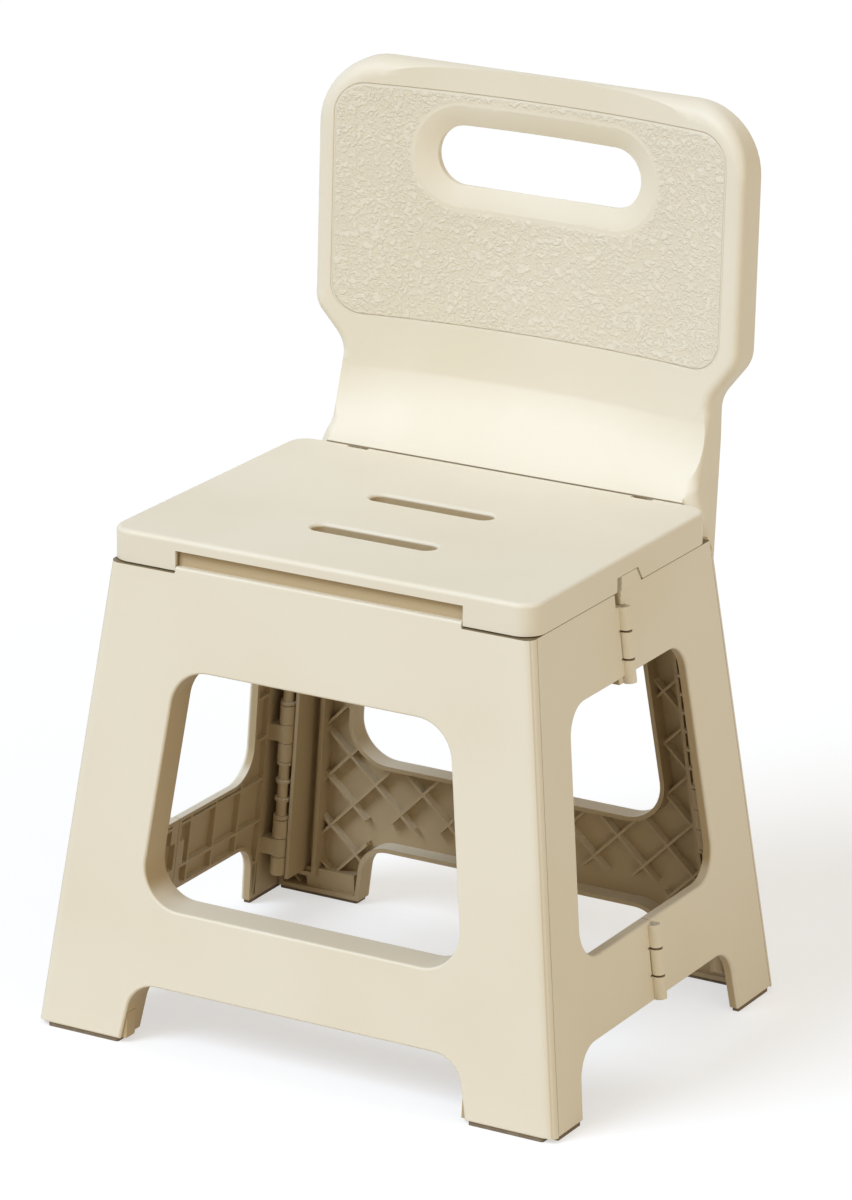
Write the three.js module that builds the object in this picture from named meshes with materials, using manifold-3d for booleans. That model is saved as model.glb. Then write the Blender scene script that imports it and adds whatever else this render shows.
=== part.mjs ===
// Folding step stool chair: a moulded seat and backrest on six folding leg panels.
// Millimetres, +Z up. It is drawn about the middle of the seat, then moved so that the origin is on the
// floor under the middle of its box.
// -Y is the front and +X is to the right as seen from the front.
import * as THREE from 'three';
import { mergeVertices } from 'three/addons/utils/BufferGeometryUtils.js';
import Module from 'manifold-3d';

const wasm = await Module();
wasm.setup();
const { Manifold, Mesh } = wasm;

// Driving sizes of the open chair
const SEAT_HEIGHT = 320;
const SEAT_WIDTH = 293.6;
const SEAT_DEPTH = 223;
const SKIRT_DROP = 20;
const FOOT_WIDTH = 364.4;
const FRONT_REACH = 142.2;
const REAR_REACH = 149;
const BACK_HEIGHT = 562;
const SIDE_TUCK = 1.5;
const FRONT_PROUD = 1;
const REAR_SET_BACK = 8.1;

// Fold: all six upright hinge lines meet at one point above the seat
const APEX_HEIGHT = 1440;
const MID_HINGE_Y = -3;
const CORNER_AXIS_INSET = 17.7;
const CORNER_AXIS_SET_BACK = 22.2;
const MID_AXIS_PROUD = 2.8;

// Seat linkage: rear, middle and front cross axes
const SEAT_AXIS_FROM_REAR = 6;
const SEAT_AXIS_DROP = 7;
const MID_LINK_Y = 12.39;
const MID_LINK_DROP = 27.5;
const FRONT_LINK_Y = -95;
const FRONT_LINK_DROP = 17;

// Walls, clearances and small common sizes
const GAP = 0.4;
const SEAM = 0.6;
const OVERRUN = 6;
const BITE = 0.4;
const SKIN = 3;
const RIB = 1.8;
const EDGE = 1.5;
const CORNER_ROUND = 6.5;
const PANEL_LIFT = 2.6;
const PAD_THICKNESS = 2.3;
const WELD = 1e-4;
const NUDGE = 1e-3;
const STRAIGHT = 1e-3;
const SHOULDER_SHARE = 1.25;
const ARC_STEP = Math.PI / 8;
const ROUND_SIDES = 10;
const PIN_SIDES = 10;
const ROUND_SHARES = [0, 1 / 3, 2 / 3, 1];
const FUNNEL_SHARES = [0, 1 / 2, 1];

// Front panel
const FRONT_RIM = 23.5;
const FRONT_POST = 58;
const FRONT_FOOT = 60.5;
const FOOT_FLARE = 7;
const FRONT_ARCH_TOP = 40;
const FRONT_WINDOW_BOTTOM = 90;
const FRONT_WINDOW_TOP = 240.5;
const WINDOW_ROUND = 25;
const ARCH_ROUND = 20;
const RECESS_HALF_WIDTH = 99;
const FRONT_LIP_RISE = 3.5;
const FRONT_LIP_THICKNESS = 4.6;
const RECESS_WALL = 2.4;
const RECESS_WALL_GAP = 0.9;
const FRONT_TRAY_DROP = 11;

// Rear leg panel
const REAR_RIM = 15;
const REAR_POST = 55;
const REAR_FOOT = 68;
const REAR_ARCH_TOP = 42;
const REAR_WINDOW_BOTTOM = 104;
const REAR_WINDOW_TOP = 240;
const REAR_TRAY_DROP = 3.5;

// Tray ribs and the strengthened corner
const RIB_DEPTH = 9;
const DIAMOND_PITCH = 25;
const FRONT_RIB_PITCH = 50;
const DIAMOND_CENTRE_X = -12;
const DIAMOND_CENTRE_Z = 104;
const PLAIN_BAND = 18;
const COLUMN_BAND = 14;
const COLUMN_WALL = 2.5;
const COLUMN_MARGIN = 3;
const SOLE_INSET = 7.5;
const FOOT_BOX_INNER = 118;
const FOOT_BOX_OUTER = 154;
const FOOT_BOX_TOP = 19;
const FOOT_BOX_DEPTH = 12;

// Folding side halves
const SIDE_THICKNESS = 6.5;
const SIDE_SKIN = 2.6;
const SIDE_RIB_PITCH = 30;
const SIDE_POST_FRONT = 43;
const SIDE_POST_REAR = 55;
const SIDE_FOOT_FRONT = 37.5;
const SIDE_FOOT_REAR = 50;
const SIDE_FOOT_FLARE = 5;
const SIDE_ARCH_TOP = 44;
const SIDE_WINDOW_BOTTOM = 94;
const SIDE_WINDOW_TOP = 247;
const SIDE_WINDOW_ROUND = 20;
const TOP_GAP = 0.9;
const BARREL_NOTCH_WIDTH = 7;
const TAB_HEIGHT = 9;
const TAB_LENGTH = 19;
const TAB_SLANT = 6.5;
const TAB_INSET = 0.6;
const TAB_GAP = 0.8;

// Upright hinges
const KNUCKLE_RADIUS = 5;
const ARM_HALF_WIDTH = 3.5;
const ARM_TRIM = 0.7;
const CORNER_PIN_RADIUS = 1.5;
const CORNER_GROUP_HEIGHT = 40;
const CORNER_GROUP_STARTS = [20, 102, 242];
const CORNER_PIN_OVERHANG = 1.5;
const OPEN_PIVOT_PLAY = 1.1;
const BARREL_RADIUS = 4;
const MID_PIN_RADIUS = 1.4;
const MID_HINGE_STARTS = [45, 243];
const MID_HINGE_HEIGHT = 47;
const MID_KNUCKLE_SHARES = [0, 0.32, 0.69, 1];

// Seat
const SEAT_SKIN = 3;
const SEAT_LIP = 7.5;
const SEAT_WALL = 3;
const SEAT_CORNER_ROUND = 14;
const SEAT_REAR_ROUND = 14;
const SEAT_EDGE = 3;
const SEAT_RIB_DEPTH = 10.5;
const SEAT_RIB_PITCH = 48;
const SKIRT_REAR_CUT = 3.5;
const SLOT_HALF_LENGTH = 43;
const SLOT_HALF_WIDTH = 7;
const SLOT_DISH = 3.5;
const SLOT_Y = [25, -45];
const SLOT_WALL = 2;

// Cross hinges under the seat
const CROSS_RADIUS = 4.5;
const CROSS_PIN_RADIUS = 1.8;
const REAR_EAR_X = 101;
const REAR_EAR_WIDTH = 14;
const REAR_BOSS_WIDTH = 7;
const REAR_NECK_DROP = 1;
const MID_EAR_X = 76;
const MID_BARREL_WIDTH = 11;
const MID_EAR_WIDTH = 6;
const FRONT_BARREL_HALF = 93.5;
const FRONT_BARREL_RADIUS = 5;
const FRONT_EAR_WIDTH = 5.5;
const FRONT_EAR_RADIUS = 6.2;
const PIVOT_RISE = 1.8;
const PIVOT_PLAY = 0.7;
const PIVOT_SHIFT_Y = 0.18;
const PIVOT_SHIFT_Z = -0.3;
const LINK_THICKNESS = 4;
const LINK_HALF_WIDTH = 91;
const LINK_OPENING_HALF = 52;
const LINK_OPENING_FRONT = 22;
const LINK_OPENING_REAR = 72;
const LINK_STOP_SHORT = 7.5;

// Backrest
const BACK_HALF_WIDTH = 151;
const WAIST_HALF_WIDTH = 130.8;
const WAIST_TOP = 378;
const SHOULDER_BOTTOM = 404;
const BACK_CORNER_ROUND = 44;
const SHOULDER_ROUND = 22;
const BACK_ROOT_Z = 286;
const WAIST_BOTTOM = 328;
const FLANGE_BEVEL = 4.8;
const FLANGE_BEVEL_TOP = 352;
const BACK_COVE_HEIGHT = 45;
const BACK_COVE_DEPTH = 19.5;
const BACK_COVE_POWER = 0.8;
const COVE_ROWS = 4;
const BACK_ROWS = 3;
const BACK_COLUMNS = 8;
const BACK_WALL_GAP = 0.8;
const BACK_LEAN_SHARE = 0.03;
const BACK_SWEEP_RADIUS = 600;
const BACK_SWEEP_EDGE = 144;
const BACK_THICKNESS = 22;
const BACK_SKIN = 3.2;
const BACK_EDGE_SIDE = 7;
const BACK_EDGE_TOP = 12;
const BACK_RIB_PITCH = 50;
const GRIP_Z = 505;
const GRIP_HALF_LENGTH = 75;
const GRIP_HALF_HEIGHT = 19;
const GRIP_FUNNEL = 15;
const GRIP_FUNNEL_DEPTH = 10;

const mix = THREE.MathUtils.lerp;
const point = (x, y, z) => new THREE.Vector3(x, y, z);

// Faces of the open frame at height z
const PANEL_TOP = SEAT_HEIGHT - SKIRT_DROP;
const SEAT_REAR = SEAT_DEPTH / 2;
const HALF_SPAN = FRONT_REACH + MID_HINGE_Y - CORNER_AXIS_SET_BACK;
const sideX = (z) => mix(FOOT_WIDTH / 2, SEAT_WIDTH / 2 - SIDE_TUCK, z / PANEL_TOP);
const frontY = (z) => -mix(FRONT_REACH, SEAT_REAR + FRONT_PROUD, z / PANEL_TOP);
const rearY = (z) => mix(REAR_REACH, SEAT_REAR + REAR_SET_BACK, z / PANEL_TOP);

// A leg panel is drawn flat as (u across, v up, depth behind its outer face), then leant into place
const flat = (u, v, depth) => point(u, v, depth);
function frameOf(across, foot, top, inwards) {
  const matrix = new THREE.Matrix4();
  matrix.makeBasis(across, top.clone().sub(foot).divideScalar(PANEL_TOP), inwards).setPosition(foot);
  return { matrix, inverse: matrix.clone().invert() };
}
const towardsX = new THREE.Vector3(1, 0, 0);
const towardsY = new THREE.Vector3(0, 1, 0);
const frontFrame = frameOf(
  towardsX,
  point(0, frontY(0), 0),
  point(0, frontY(PANEL_TOP), PANEL_TOP),
  towardsY,
);
const rearFrame = frameOf(
  towardsX,
  point(0, rearY(0), 0),
  point(0, rearY(PANEL_TOP), PANEL_TOP),
  towardsY.clone().negate(),
);
const rightFrame = frameOf(
  towardsY,
  point(sideX(0), 0, 0),
  point(sideX(PANEL_TOP), 0, PANEL_TOP),
  towardsX.clone().negate(),
);

// The seat and its linkage are drawn in place, from above or from the side
const seatTop = (u, v, depth) => point(u, v, SEAT_HEIGHT - depth);
const crossways = (u, v, depth) => point(depth, u, v);

// Upright hinge lines, named by the point where each meets the floor
const apex = point(0, MID_HINGE_Y, APEX_HEIGHT);
const cornerX = FOOT_WIDTH / 2 - CORNER_AXIS_INSET;
const frontCorner = point(cornerX, MID_HINGE_Y - HALF_SPAN, 0);
const rearCorner = point(cornerX, MID_HINGE_Y + HALF_SPAN, 0);
const midSide = point(FOOT_WIDTH / 2 + MID_AXIS_PROUD, MID_HINGE_Y, 0);
const onAxis = (foot, z) => foot.clone().lerp(apex, z / APEX_HEIGHT);

// Cross axes of the seat linkage, as points in the middle plane
const seatAxis = point(0, SEAT_REAR - SEAT_AXIS_FROM_REAR, SEAT_HEIGHT - SEAT_AXIS_DROP);
const midLinkAxis = point(0, MID_LINK_Y, SEAT_HEIGHT - MID_LINK_DROP);
const frontLinkAxis = point(0, FRONT_LINK_Y, SEAT_HEIGHT - FRONT_LINK_DROP);

// Turn an indexed closed surface into a solid that faces outwards
function solidOf(vertProperties, triVerts) {
  const body = new Manifold(new Mesh({ numProp: 3, vertProperties, triVerts }));
  if (body.volume() > 0) return body;
  const turned = triVerts.slice();
  for (let i = 0; i < turned.length; i += 3) {
    turned[i] = triVerts[i + 1];
    turned[i + 1] = triVerts[i];
  }
  return new Manifold(new Mesh({ numProp: 3, vertProperties, triVerts: turned }));
}

function solid(geometry) {
  const bare = geometry.clone();
  bare.deleteAttribute('normal');
  bare.deleteAttribute('uv');
  const merged = mergeVertices(bare, WELD);
  return solidOf(new Float32Array(merged.attributes.position.array), new Uint32Array(merged.index.array));
}

function geometryOf(body) {
  const mesh = body.getMesh();
  const geometry = new THREE.BufferGeometry();
  geometry.setAttribute('position', new THREE.BufferAttribute(mesh.vertProperties, 3));
  geometry.setIndex(new THREE.BufferAttribute(mesh.triVerts, 1));
  geometry.computeVertexNormals();
  return geometry;
}

function moved(body, matrix) {
  const geometry = geometryOf(body).applyMatrix4(matrix);
  return solidOf(geometry.attributes.position.array, geometry.index.array);
}

const mirror = new THREE.Matrix4().makeScale(-1, 1, 1);
const mirrored = (body) => moved(body, mirror);
const eachSide = (body) => [body, mirrored(body)];
const join = (bodies) => bodies.reduce((whole, next) => whole.add(next));
const carve = (body, cutters) => cutters.reduce((left, cutter) => left.subtract(cutter), body);

// Triangulation drops points on a straight run, so each point there stands a hair outwards
function bulged(outline, side) {
  return outline.map((place, i) => {
    const previous = outline[(i + outline.length - 1) % outline.length];
    const next = outline[(i + 1) % outline.length];
    const run = next.clone().sub(previous).normalize();
    const outwards = new THREE.Vector2(run.y, -run.x).multiplyScalar(side);
    const proud = place.clone().sub(previous).dot(outwards);
    return Math.abs(proud) < WELD ? place.clone().addScaledVector(outwards, NUDGE) : place;
  });
}

// A closed skin through matching rings of points, with both end rings capped
function loft(rings, capOutline) {
  const count = capOutline.length;
  const positions = rings.flat().flatMap((vertex) => vertex.toArray());
  const index = [];
  for (let ring = 0; ring + 1 < rings.length; ring += 1) {
    for (let i = 0; i < count; i += 1) {
      const a = ring * count + i;
      const b = ring * count + ((i + 1) % count);
      index.push(a, b, a + count, b, b + count, a + count);
    }
  }
  const last = (rings.length - 1) * count;
  const clockwise = THREE.ShapeUtils.isClockWise(capOutline);
  const cap = THREE.ShapeUtils.triangulateShape(bulged(capOutline, clockwise ? -1 : 1), []);
  cap.forEach(([a, second, third]) => {
    const [b, c] = clockwise ? [third, second] : [second, third];
    index.push(a, c, b);
    index.push(last + a, last + b, last + c);
  });
  const geometry = new THREE.BufferGeometry();
  geometry.setAttribute('position', new THREE.Float32BufferAttribute(positions, 3));
  geometry.setIndex(index);
  return solid(geometry);
}

// Corners are [u, v, fillet, edge]; edge is the rounding of the side that leaves the corner
function outlineOf(corners) {
  const count = corners.length;
  const places = corners.map(([u, v]) => new THREE.Vector2(u, v));
  const edges = corners.map(([, , , edge = 0]) => edge);
  const outline = [];
  corners.forEach(([, , fillet = 0], i) => {
    const here = places[i];
    const before = edges[(i + count - 1) % count];
    const after = edges[i];
    const back = places[(i + count - 1) % count].clone().sub(here).normalize();
    const on = places[(i + 1) % count].clone().sub(here).normalize();
    if (!fillet) {
      const reach = Math.max(before, after) * SHOULDER_SHARE;
      const earlier = here.clone().addScaledVector(back, reach);
      const later = here.clone().addScaledVector(on, reach);
      if (before < after) outline.push({ place: earlier, before, after: before });
      outline.push({ place: here, before, after });
      if (after < before) outline.push({ place: later, before: after, after });
      return;
    }
    const half = Math.acos(THREE.MathUtils.clamp(back.dot(on), -1, 1)) / 2;
    const centre = back.clone().add(on).normalize().multiplyScalar(fillet / Math.sin(half)).add(here);
    const start = back.clone().multiplyScalar(fillet / Math.tan(half)).add(here);
    const sweep = (Math.PI - 2 * half) * Math.sign(on.cross(back));
    const steps = Math.max(2, Math.round(Math.abs(sweep) / ARC_STEP));
    for (let step = 0; step <= steps; step += 1) {
      const edge = mix(before, after, step / steps);
      const place = start.clone().rotateAround(centre, (sweep * step) / steps);
      outline.push({ place, before: edge, after: edge });
    }
  });
  return outline;
}

const edgeOf = ({ before, after }) => Math.max(before, after);

// Move each side inwards by its edge radius times share plus a distance, and meet again
function insetOutline(outline, share, distance) {
  const side = Math.sign(THREE.ShapeUtils.area(outline.map(({ place }) => place)));
  return outline.map(({ place, before, after }, i) => {
    const previous = outline[(i + outline.length - 1) % outline.length].place;
    const next = outline[(i + 1) % outline.length].place;
    const arriving = place.clone().sub(previous).normalize();
    const leaving = next.clone().sub(place).normalize();
    const first = new THREE.Vector2(-arriving.y, arriving.x).multiplyScalar(side);
    const second = new THREE.Vector2(-leaving.y, leaving.x).multiplyScalar(side);
    const a = before * share + distance;
    const b = after * share + distance;
    const turn = first.cross(second);
    if (Math.abs(turn) < STRAIGHT) return place.clone().addScaledVector(first, (a + b) / 2);
    const shift = new THREE.Vector2(a * second.y - b * first.y, b * first.x - a * second.x);
    return place.clone().addScaledVector(shift, 1 / turn);
  });
}

const ringAt = (wall, places, depth) => places.map(({ x, y }) => wall(x, y, depth));

// A slab of an outline between two depths behind a wall
function slab(wall, corners, near, far, inset = 0) {
  const outline = outlineOf(corners);
  const places = insetOutline(outline, 0, inset);
  return loft([ringAt(wall, places, near), ringAt(wall, places, far)], places);
}

// A slab whose edge on the near face is rounded by each corner's edge radius
function roundedSlab(wall, corners, far) {
  const outline = outlineOf(corners);
  const turns = ROUND_SHARES.map((share) => (share * Math.PI) / 2);
  const rings = turns.map((turn) => {
    const places = insetOutline(outline, 1 - Math.sin(turn), 0);
    return places.map(({ x, y }, i) => wall(x, y, edgeOf(outline[i]) * (1 - Math.cos(turn))));
  });
  rings.push(ringAt(wall, outline.map(({ place }) => place), far));
  return loft(rings, insetOutline(outline, 1, 0));
}

// A cutter for an opening whose near edge is opened out by a small round
function openingCutter(wall, corners, round, far) {
  const outline = outlineOf(corners);
  const rings = [
    ringAt(wall, insetOutline(outline, 0, -round), -OVERRUN),
    ringAt(wall, insetOutline(outline, 0, -round), 0),
    ringAt(wall, insetOutline(outline, 0, -round * (1 - Math.SQRT1_2)), round * (1 - Math.SQRT1_2)),
    ringAt(wall, insetOutline(outline, 0, 0), round),
    ringAt(wall, insetOutline(outline, 0, 0), far),
  ];
  return loft(rings, outline.map(({ place }) => place));
}

const rectangle = (left, right, bottom, top) => [[left, bottom], [right, bottom], [right, top], [left, top]];

// Parallel bars across a region, tilted by an angle and one pitch apart
function bars(wall, centre, reach, pitch, angle, near, far) {
  const across = new THREE.Vector2(Math.cos(angle), Math.sin(angle));
  const along = new THREE.Vector2(-across.y, across.x);
  const count = Math.ceil(reach / pitch);
  const found = [];
  for (let k = -count; k <= count; k += 1) {
    const middle = centre.clone().addScaledVector(across, k * pitch);
    const corner = (a, b) => {
      const place = middle.clone().addScaledVector(across, (a * RIB) / 2).addScaledVector(along, b * reach);
      return [place.x, place.y];
    };
    found.push(slab(wall, [corner(-1, -1), corner(1, -1), corner(1, 1), corner(-1, 1)], near, far));
  }
  return join(found);
}

function lattice(wall, centre, reach, pitch, turn, near, far) {
  const one = bars(wall, centre, reach, pitch, turn, near, far);
  const other = bars(wall, centre, reach, pitch, turn + Math.PI / 2, near, far);
  return one.add(other);
}

// A round rod between two points in space
function rod(start, end, radius, sides) {
  const run = end.clone().sub(start);
  const geometry = new THREE.CylinderGeometry(radius, radius, run.length(), sides);
  geometry.applyQuaternion(new THREE.Quaternion().setFromUnitVectors(towardsY, run.clone().normalize()));
  const middle = start.clone().add(end).divideScalar(2);
  geometry.translate(middle.x, middle.y, middle.z);
  return solid(geometry);
}

const uprightRod = (foot, from, to, radius, sides) => rod(onAxis(foot, from), onAxis(foot, to), radius, sides);
const crossRod = (axis, from, to, radius, sides) => rod(
  point(from, axis.y, axis.z),
  point(to, axis.y, axis.z),
  radius,
  sides,
);

// Corner hinge: in each group the panel holds the outer two knuckles, the side half the middle
const cornerKnuckles = (start, whose) => {
  const third = CORNER_GROUP_HEIGHT / 3;
  const spans = whose === 'panel' ? [[0, 1], [2, 3]] : [[1, 2]];
  return spans.map(([a, b]) => [start + a * third + SEAM / 2, start + b * third - SEAM / 2]);
};

const unitSquare = rectangle(0, 1, 0, 1).map(([x, y]) => new THREE.Vector2(x, y));

// A block that rises from the skin of a piece to a hinge line, all in the piece's flat frame
function armTo(axisAt, from, to, span, near, farAt, along) {
  const corners = [[span[0], from], [span[1], from], [span[1], to], [span[0], to]];
  const ring = (depthAt) => corners.map(([offset, z]) => {
    const axis = axisAt(z);
    return along(axis, offset, depthAt(axis));
  });
  return loft([ring(() => near), ring(farAt)], unitSquare);
}

const axisIn = (frame, foot) => (z) => onAxis(foot, z).applyMatrix4(frame.inverse);
const rodIn = (frame, foot, from, to, radius, sides) => moved(
  uprightRod(foot, from, to, radius, sides),
  frame.inverse,
);
const besideAxis = (axis, offset, depth) => point(axis.x + offset, axis.y, depth);
const CORNER_TOP = CORNER_GROUP_STARTS[CORNER_GROUP_STARTS.length - 1] + CORNER_GROUP_HEIGHT;
const COLUMN_BOTTOM = CORNER_GROUP_STARTS[0] - COLUMN_MARGIN;
const COLUMN_TOP = CORNER_TOP + COLUMN_MARGIN;

function cornerArms(frame, foot, whose, near) {
  const halfWidth = whose === 'panel' ? ARM_HALF_WIDTH : KNUCKLE_RADIUS;
  const axisAt = axisIn(frame, foot);
  return CORNER_GROUP_STARTS.flatMap((start) => cornerKnuckles(start, whose).flatMap(([from, to]) => [
    armTo(
      axisAt,
      from + ARM_TRIM,
      to - ARM_TRIM,
      [-halfWidth, halfWidth],
      near,
      (axis) => axis.z,
      besideAxis,
    ),
    rodIn(frame, foot, from, to, KNUCKLE_RADIUS, ROUND_SIDES),
  ]));
}

const cornerBore = (frame, foot, radius) => rodIn(
  frame,
  foot,
  COLUMN_BOTTOM - OVERRUN,
  COLUMN_TOP + OVERRUN,
  radius,
  PIN_SIDES,
);

// A leg panel: rounded plate, deep tray with diamond ribs, hinge wall and knuckles at both corners
function legPanel({ frame, foot, plate, tray, window, rim, footLength, archTop, ribPitch }) {
  const axisAt = axisIn(frame, foot);
  const outer = roundedSlab(flat, plate, CORNER_ROUND);
  const deep = slab(flat, tray, SKIN, rim);
  const windowBand = (distance, extra) => slab(flat, window, SKIN - extra, rim + OVERRUN + extra, -distance);
  const hollow = slab(flat, tray, SKIN, rim + OVERRUN, SKIN).subtract(windowBand(SKIN, BITE));
  const archHalf = sideX(archTop) - footLength;
  const plainBand = rectangle(-archHalf, archHalf, 0, archTop + PLAIN_BAND);
  const ribRegion = carve(slab(flat, tray, SKIN - BITE, RIB_DEPTH, SKIN - BITE), [
    windowBand(SKIN - BITE, 2 * BITE),
    slab(flat, plainBand, 0, rim),
  ]);
  const ribs = lattice(
    flat,
    new THREE.Vector2(DIAMOND_CENTRE_X, DIAMOND_CENTRE_Z),
    SEAT_WIDTH,
    ribPitch,
    Math.PI / 4,
    SKIN - BITE,
    RIB_DEPTH,
  );
  const footBox = slab(
    flat,
    rectangle(FOOT_BOX_INNER, FOOT_BOX_OUTER, PANEL_LIFT + BITE, FOOT_BOX_TOP),
    SKIN - BITE,
    FOOT_BOX_DEPTH,
  );
  const wallOuter = -KNUCKLE_RADIUS - SEAM;
  const hingeWall = armTo(
    axisAt,
    COLUMN_BOTTOM,
    COLUMN_TOP,
    [wallOuter - COLUMN_WALL, wallOuter],
    SKIN,
    (axis) => axis.z,
    besideAxis,
  );
  const corner = [footBox, hingeWall, ...cornerArms(frame, foot, 'panel', SKIN)];
  return join([
    join([outer, deep]).subtract(hollow),
    ribs.intersect(ribRegion),
    ...corner,
    ...corner.map(mirrored),
  ]);
}

// The outline of a leg panel up to its shoulders, from the left foot to the right one
function footedEdge(outer, footLength, archTop, edge, sideEdge) {
  const inner = sideX(PANEL_LIFT) - footLength;
  return [
    [-outer, PANEL_LIFT, 0, edge],
    [-inner, PANEL_LIFT, 0, edge],
    [-(inner - FOOT_FLARE), archTop, ARCH_ROUND, edge],
    [inner - FOOT_FLARE, archTop, ARCH_ROUND, edge],
    [inner, PANEL_LIFT, 0, edge],
    [outer, PANEL_LIFT, 0, sideEdge],
  ];
}

function trayOutline(foot, footLength, archTop, top) {
  const columnX = (z) => onAxis(foot, z).x - COLUMN_BAND;
  const sole = (z) => sideX(z) - SOLE_INSET;
  return [
    ...footedEdge(sole(PANEL_LIFT), footLength, archTop, 0, 0),
    [sole(COLUMN_BOTTOM), COLUMN_BOTTOM - SEAM],
    [columnX(COLUMN_BOTTOM), COLUMN_BOTTOM - SEAM],
    [columnX(top), top],
    [-columnX(top), top],
    [-columnX(COLUMN_BOTTOM), COLUMN_BOTTOM - SEAM],
    [-sole(COLUMN_BOTTOM), COLUMN_BOTTOM - SEAM],
  ];
}

function windowOutline(bottom, top, post) {
  const corner = (sign, z) => [sign * (sideX(z) - post), z, WINDOW_ROUND];
  return [corner(-1, bottom), corner(1, bottom), corner(1, top), corner(-1, top)];
}

// Front panel
const SHOULDER_Z = PANEL_TOP - TOP_GAP;
const lipX = RECESS_HALF_WIDTH - SEAM;
const frontPlate = [
  ...footedEdge(sideX(PANEL_LIFT), FRONT_FOOT, FRONT_ARCH_TOP, EDGE, CORNER_ROUND),
  [sideX(SHOULDER_Z), SHOULDER_Z, 0, 0],
  [lipX, SHOULDER_Z, 0, 0],
  [lipX, SHOULDER_Z + FRONT_LIP_RISE, 0, EDGE],
  [-lipX, SHOULDER_Z + FRONT_LIP_RISE, 0, 0],
  [-lipX, SHOULDER_Z, 0, 0],
  [-sideX(SHOULDER_Z), SHOULDER_Z, 0, CORNER_ROUND],
];
const frontTrayTop = PANEL_TOP - FRONT_TRAY_DROP;
const frontWindow = windowOutline(FRONT_WINDOW_BOTTOM, FRONT_WINDOW_TOP, FRONT_POST);

// An ear beside each end of the link's barrel, with an upright slot for its pin: the opened pivot
function frontEar() {
  const inner = FRONT_BARREL_HALF + GAP;
  const outer = inner + FRONT_EAR_WIDTH;
  const { y, z } = frontLinkAxis;
  const root = rectangle(y - FRONT_EAR_RADIUS, y + FRONT_EAR_RADIUS, frontTrayTop - SKIN, z);
  const halfPlay = CROSS_PIN_RADIUS + PIVOT_PLAY;
  const halfRise = CROSS_PIN_RADIUS + PIVOT_RISE;
  const slotY = y + PIVOT_SHIFT_Y;
  const slotZ = z + PIVOT_SHIFT_Z;
  const slot = rectangle(slotY - halfPlay, slotY + halfPlay, slotZ - halfRise, slotZ + halfRise);
  const eye = crossRod(frontLinkAxis, inner, outer, FRONT_EAR_RADIUS, ROUND_SIDES);
  const pinSlot = slab(crossways, slot, inner - OVERRUN, outer + OVERRUN);
  return moved(slab(crossways, root, inner, outer).add(eye).subtract(pinSlot), frontFrame.inverse);
}

function frontPanel() {
  const body = legPanel({
    frame: frontFrame,
    foot: frontCorner,
    plate: frontPlate,
    tray: trayOutline(frontCorner, FRONT_FOOT, FRONT_ARCH_TOP, frontTrayTop),
    window: frontWindow,
    rim: FRONT_RIM,
    footLength: FRONT_FOOT,
    archTop: FRONT_ARCH_TOP,
    ribPitch: FRONT_RIB_PITCH,
  });
  const lipCut = slab(
    flat,
    rectangle(-RECESS_HALF_WIDTH, RECESS_HALF_WIDTH, frontTrayTop, SEAT_HEIGHT),
    FRONT_LIP_THICKNESS,
    FRONT_RIM + OVERRUN,
  );
  const recessWall = slab(
    flat,
    rectangle(-lipX, lipX, frontTrayTop - SKIN, SEAT_HEIGHT - SEAT_LIP - RECESS_WALL_GAP),
    FRONT_LIP_THICKNESS - BITE,
    FRONT_LIP_THICKNESS + RECESS_WALL,
  );
  const whole = join([
    carve(body, [
      lipCut,
      openingCutter(flat, frontWindow, EDGE, FRONT_RIM + OVERRUN),
      cornerBore(frontFrame, frontCorner, CORNER_PIN_RADIUS + GAP),
      mirrored(cornerBore(frontFrame, frontCorner, CORNER_PIN_RADIUS + OPEN_PIVOT_PLAY)),
    ]),
    recessWall,
    ...eachSide(frontEar()),
  ]);
  return moved(whole, frontFrame.matrix);
}

// Side halves, drawn for the right-hand side as [y, z] places on the side face
const seamFront = (z) => frontY(z) + CORNER_ROUND + SEAM;
const seamRear = (z) => rearY(z) - CORNER_ROUND - SEAM;
const midFront = MID_HINGE_Y - SEAM / 2;
const midRear = MID_HINGE_Y + SEAM / 2;
const UPPER_BARREL_TOP = MID_HINGE_STARTS[1] + MID_HINGE_HEIGHT;

function halfOutline({ face, sign, seam, mid, footLength, post }) {
  const foot = face(PANEL_LIFT) + sign * footLength;
  const postAt = (z) => face(z) + sign * post;
  return [
    [seam(PANEL_LIFT), PANEL_LIFT, 0, EDGE],
    [foot, PANEL_LIFT, 0, EDGE],
    [foot + sign * SIDE_FOOT_FLARE, SIDE_ARCH_TOP, ARCH_ROUND, EDGE],
    [mid, SIDE_ARCH_TOP, 0, 0],
    [mid, SIDE_WINDOW_BOTTOM, 0, EDGE],
    [postAt(SIDE_WINDOW_BOTTOM), SIDE_WINDOW_BOTTOM, SIDE_WINDOW_ROUND, EDGE],
    [postAt(SIDE_WINDOW_TOP), SIDE_WINDOW_TOP, SIDE_WINDOW_ROUND, EDGE],
    [mid, SIDE_WINDOW_TOP, 0, 0],
  ];
}
const frontHalf = [
  ...halfOutline({
    face: frontY,
    sign: 1,
    seam: seamFront,
    mid: midFront,
    footLength: SIDE_FOOT_FRONT,
    post: SIDE_POST_FRONT,
  }),
  [midFront, UPPER_BARREL_TOP],
  [midFront - BARREL_NOTCH_WIDTH, UPPER_BARREL_TOP],
  [midFront - BARREL_NOTCH_WIDTH, SHOULDER_Z],
  [seamFront(SHOULDER_Z), SHOULDER_Z],
];
const rearHalf = [
  ...halfOutline({
    face: rearY,
    sign: -1,
    seam: seamRear,
    mid: midRear,
    footLength: SIDE_FOOT_REAR,
    post: SIDE_POST_REAR,
  }),
  [midRear, SHOULDER_Z],
  [seamRear(SHOULDER_Z), SHOULDER_Z],
];

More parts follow.
